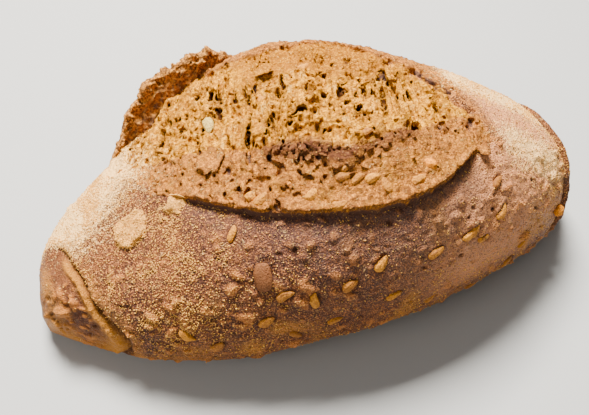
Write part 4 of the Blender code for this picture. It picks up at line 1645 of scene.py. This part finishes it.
# %% Piles of seeds
class SeedPile:
    """Collects seeds of one kind into one mesh."""

    def __init__(self):
        self.points, self.faces, self.tints, self.total = [], [], [], 0

    def add(self, shape, axes, place, tint):
        """Add one seed, given its shape, its axes and its place."""
        spots = shape.reshape(-1, 3) @ axes + place
        self.points.append(spots)
        seed_faces = net_faces(SEED_RINGS, SEED_SEGMENTS)
        self.faces += [[i + self.total for i in face] for face in seed_faces]
        self.tints += [tint] * len(spots)
        self.total += len(spots)

    def piece(self, name):
        """Make the mesh."""
        return new_piece(name, np.concatenate(self.points).tolist(), self.faces, {"tint": self.tints})


def on_loaf(x, degrees):
    """A point of the crust and its outward direction, from X and an angle around."""
    along, around = along_at(x), np.radians(degrees)
    point, normal = smooth_loaf(along, around), outward(along, around)
    return point + normal * crust_height(point), normal


# %% Seeds in the crust
piles = {"sunflower": SeedPile(), "pumpkin": SeedPile(), "pea": SeedPile()}
KINDS = {SUNFLOWER: ("sunflower", 0.35), SLIM: ("sunflower", 0.2), PUMPKIN: ("pumpkin", 0.15),
         KERNEL: ("pumpkin", 0.1), PEA: ("pea", 0.0)}
SKIN_SEEDS = ((-0.039, 113, 5), (-0.018, 123, 0), (0.006, 125, 15))
SKIN_SEED_SINK = 0.0002
PEA_RISE = 0.0012
TINT_SPAN = {"sunflower": 0.9, "pumpkin": 0.08, "pea": 0.9}
HIDDEN_SEED_COUNT = 16
HIDDEN_SEED_ALONG = (35, 150)
HIDDEN_SEED_AROUND = (-15, 32)

draw = np.random.default_rng(103)
for i, (size, x, degrees, turn) in enumerate(SHOWN_SEEDS):
    kind, taper = KINDS[size]
    sink = -PEA_RISE if kind == "pea" else 0.0
    axes, place = lie_on(*on_loaf(x, degrees), math.radians(turn), sink)
    piles[kind].add(seed_shape(size, taper, i), axes, place, draw.uniform() * TINT_SPAN[kind])
for x, degrees, turn in SKIN_SEEDS:
    axes, place = lie_on(*on_loaf(x, degrees), math.radians(turn), SKIN_SEED_SINK)
    piles["sunflower"].add(seed_shape(SUNFLOWER, 0.35, turn), axes, place, 0.9)
draw = np.random.default_rng(11)
for i in range(HIDDEN_SEED_COUNT):
    share = (i + draw.uniform(0.2, 0.8)) / HIDDEN_SEED_COUNT
    degrees_along = HIDDEN_SEED_ALONG[0] + (HIDDEN_SEED_ALONG[1] - HIDDEN_SEED_ALONG[0]) * share
    degrees = draw.uniform(*HIDDEN_SEED_AROUND)
    turn = draw.uniform(0, math.pi)
    x = -LENGTH / 2 * math.cos(math.radians(degrees_along))
    axes, place = lie_on(*on_loaf(x, degrees), turn)
    piles["sunflower"].add(seed_shape(SUNFLOWER, 0.35, i), axes, place, (i % 5) / 5)
print(len(SHOWN_SEEDS) + len(SKIN_SEEDS) + HIDDEN_SEED_COUNT, "seeds lie in the crust")

# %% [markdown]
# The seeds in the crumb and on the skin lie deeper: some are only a pale back between crags,
# others lie open in a hole. They are set one by one, because each is seen: by kind, X, Y, turn in
# degrees, depth and tint.

# %% Seeds in the tear
TEAR_SEEDS = (
    (KERNEL, -0.043, 0.031, 75, 0.0002, 0.9), (SLIM, 0.012, -0.019, 0, 0.0000, 0.2),
    (SUNFLOWER, 0.010, -0.041, 100, 0.0008, 0.4), (SUNFLOWER, -0.005, -0.032, 10, 0.0010, 0.2),
    (SUNFLOWER, 0.045, 0.018, 60, 0.0012, 0.9), (SUNFLOWER, -0.019, 0.024, 80, 0.0010, 0.8),
    (SUNFLOWER, 0.005, 0.030, 15, 0.0010, 0.8), (SLIM, -0.002, -0.029, 20, 0.0004, 0.3),
    (SLIM, 0.000, -0.035, 15, 0.0006, 0.3),
    (SUNFLOWER, 0.024, -0.043, 20, 0.0008, 0.5), (PEA, 0.031, -0.039, 0, 0.0010, 0.5),
    (SUNFLOWER, -0.010, -0.040, 5, 0.0009, 0.4), (SUNFLOWER, -0.037, -0.022, 8, 0.0009, 0.6),
)
for i, (size, x, y, turn, sink, tint) in enumerate(TEAR_SEEDS):
    kind, taper = KINDS[size]
    axes, place = lie_on(*top_point(x, y, 0.0002), math.radians(turn), sink)
    piles[kind].add(seed_shape(size, taper, 50 + i), axes, place, tint)
print(len(TEAR_SEEDS), "seeds lie in the tear")

# %% The seeds' finish
SEED_COLORS = {
    "sunflower": (color(0.330, 0.120, 0.016), color(0.720, 0.290, 0.016)),
    "pumpkin": (color(0.170, 0.056, 0.018), color(0.640, 0.460, 0.110)),
    "pea": (color(0.900, 0.300, 0.006), color(0.900, 0.300, 0.006)),
}


def seed_finish(kind):
    """Toasted seeds with fine streaks, paler or darker from seed to seed."""
    finish = Finish(kind)
    dark, pale = SEED_COLORS[kind]
    base = finish.blend(finish.amount("tint"), dark, pale)
    base = finish.blend(finish.band(finish.grain(1.3, 4, 0.7), 0.46, 0.66, 0.0, 0.8), base, CRUST_RUST)
    base = finish.blend(finish.band(finish.grain(0.6, 3, 0.7), 0.45, 0.33, 0.0, 0.8), base, CRUST_BROWN)
    return finish.surface(base, 0.60, 0.16, finish.relief(finish.grain(0.8, 3), 0.8))


for kind, pile in piles.items():
    seeds = pile.piece(kind)
    dress(seeds, seed_finish(kind))
    print("Seeds of the kind", kind, "have", triangle_count(seeds), "triangles")

# %% [markdown]
# ## Semolina
#
# The baker dusted the loaf with coarse semolina. Each grain is a tiny angular crumb of endosperm,
# a third to a half of a millimetre across. They lie thick in two clumps near the left end of the
# lip, thinly over the left end and the front, and fall off toward the steep sides.

# %% Where grains lie
def grain_weight(points):
    """How likely a grain lies at a place of the crust."""
    x = points[..., 0]
    left = ease(-0.040, -0.085, x) * ease(0.020, 0.050, points[..., 2])
    patches = ease(-0.3, 0.5, bumps(points, 0.013, 111)) * ease(-0.6, 0.5, bumps(points, 0.005, 113))
    floured_here = np.clip(flour_amount(points), 0, 1)
    share = 0.08 + 0.7 * left + 0.5 * floured_here
    share = share * (1 - 0.93 * tail_amount(points)) * (1 - 0.6 * ease(-0.106, -0.116, x))
    return share * (0.15 + 0.85 * patches) * (1 - 0.9 * cover) * ease(0.010, 0.024, points[..., 2])


# %% Places of the grains
GRAIN_COUNT = 17000
CLUMP_GRAIN_COUNT = 5000
GRAIN_RISE = 0.0002
CLUMP_GRAIN_RISE = 0.0004

steps_along = np.linalg.norm(np.gradient(crust_points, axis=0), axis=-1)
steps_around = np.linalg.norm(np.gradient(crust_points, axis=1), axis=-1)
areas = steps_along * steps_around
draw = np.random.default_rng(112)
chosen = []
for weight, number in ((grain_weight(base), GRAIN_COUNT), (clumps, CLUMP_GRAIN_COUNT)):
    share = (areas * weight)[:-1, :-1].reshape(-1)
    chosen.append(draw.choice(share.size, number, p=share / share.sum()))
chosen = np.concatenate(chosen)
i, j = np.divmod(chosen, count - 1)
first, second = draw.uniform(0, 1, (2, len(chosen), 1))
corner = crust_points[i, j]
spots = corner + first * (crust_points[i + 1, j] - corner) + second * (crust_points[i, j + 1] - corner)
spots = spots + normal[i, j] * draw.uniform(0.0, GRAIN_RISE, (len(chosen), 1))
piled = normal[i[GRAIN_COUNT:], j[GRAIN_COUNT:]]
spots[GRAIN_COUNT:] += piled * draw.uniform(0, CLUMP_GRAIN_RISE, (CLUMP_GRAIN_COUNT, 1))
print(len(spots), "grains have a place")

# %% [markdown]
# A grain is an octahedron whose corners are pushed about, so that no two are alike. All of them
# make one mesh.

# %% The grains as a piece
GRAIN_SIZE = (0.00022, 0.00042)
CORNERS = np.array(((1, 0, 0), (-1, 0, 0), (0, 1, 0), (0, -1, 0), (0, 0, 1), (0, 0, -1)), dtype=float)
SIDES = np.array(((0, 2, 4), (2, 1, 4), (1, 3, 4), (3, 0, 4), (2, 0, 5), (1, 2, 5), (3, 1, 5), (0, 3, 5)))

shapes = CORNERS * draw.uniform(0.7, 1.3, (len(chosen), 6, 1))
shapes = shapes + draw.normal(0, 0.15, (len(chosen), 6, 3))
shapes = shapes * draw.uniform(*GRAIN_SIZE, (len(chosen), 1, 1))
points = (spots[:, None, :] + shapes).reshape(-1, 3)
faces = (SIDES[None] + len(CORNERS) * np.arange(len(chosen))[:, None, None]).reshape(-1, 3)
tints = np.repeat(draw.uniform(0, 1, len(chosen)), len(CORNERS))
semolina = new_piece("semolina", points.tolist(), faces.tolist(), {"tint": tints})
print("Semolina has", triangle_count(semolina), "triangles")

# %% The grains' finish
TOASTED_GRAIN = color(0.400, 0.190, 0.035)


def semolina_finish():
    """Grains from pale yellow to golden, some toasted."""
    finish = Finish("semolina")
    base = finish.blend(finish.amount("tint"), TOASTED_GRAIN, SEMOLINA)
    return finish.surface(base, 0.5, 0.3, finish.relief(finish.grain(0.4), 0.05))


dress(semolina, semolina_finish())
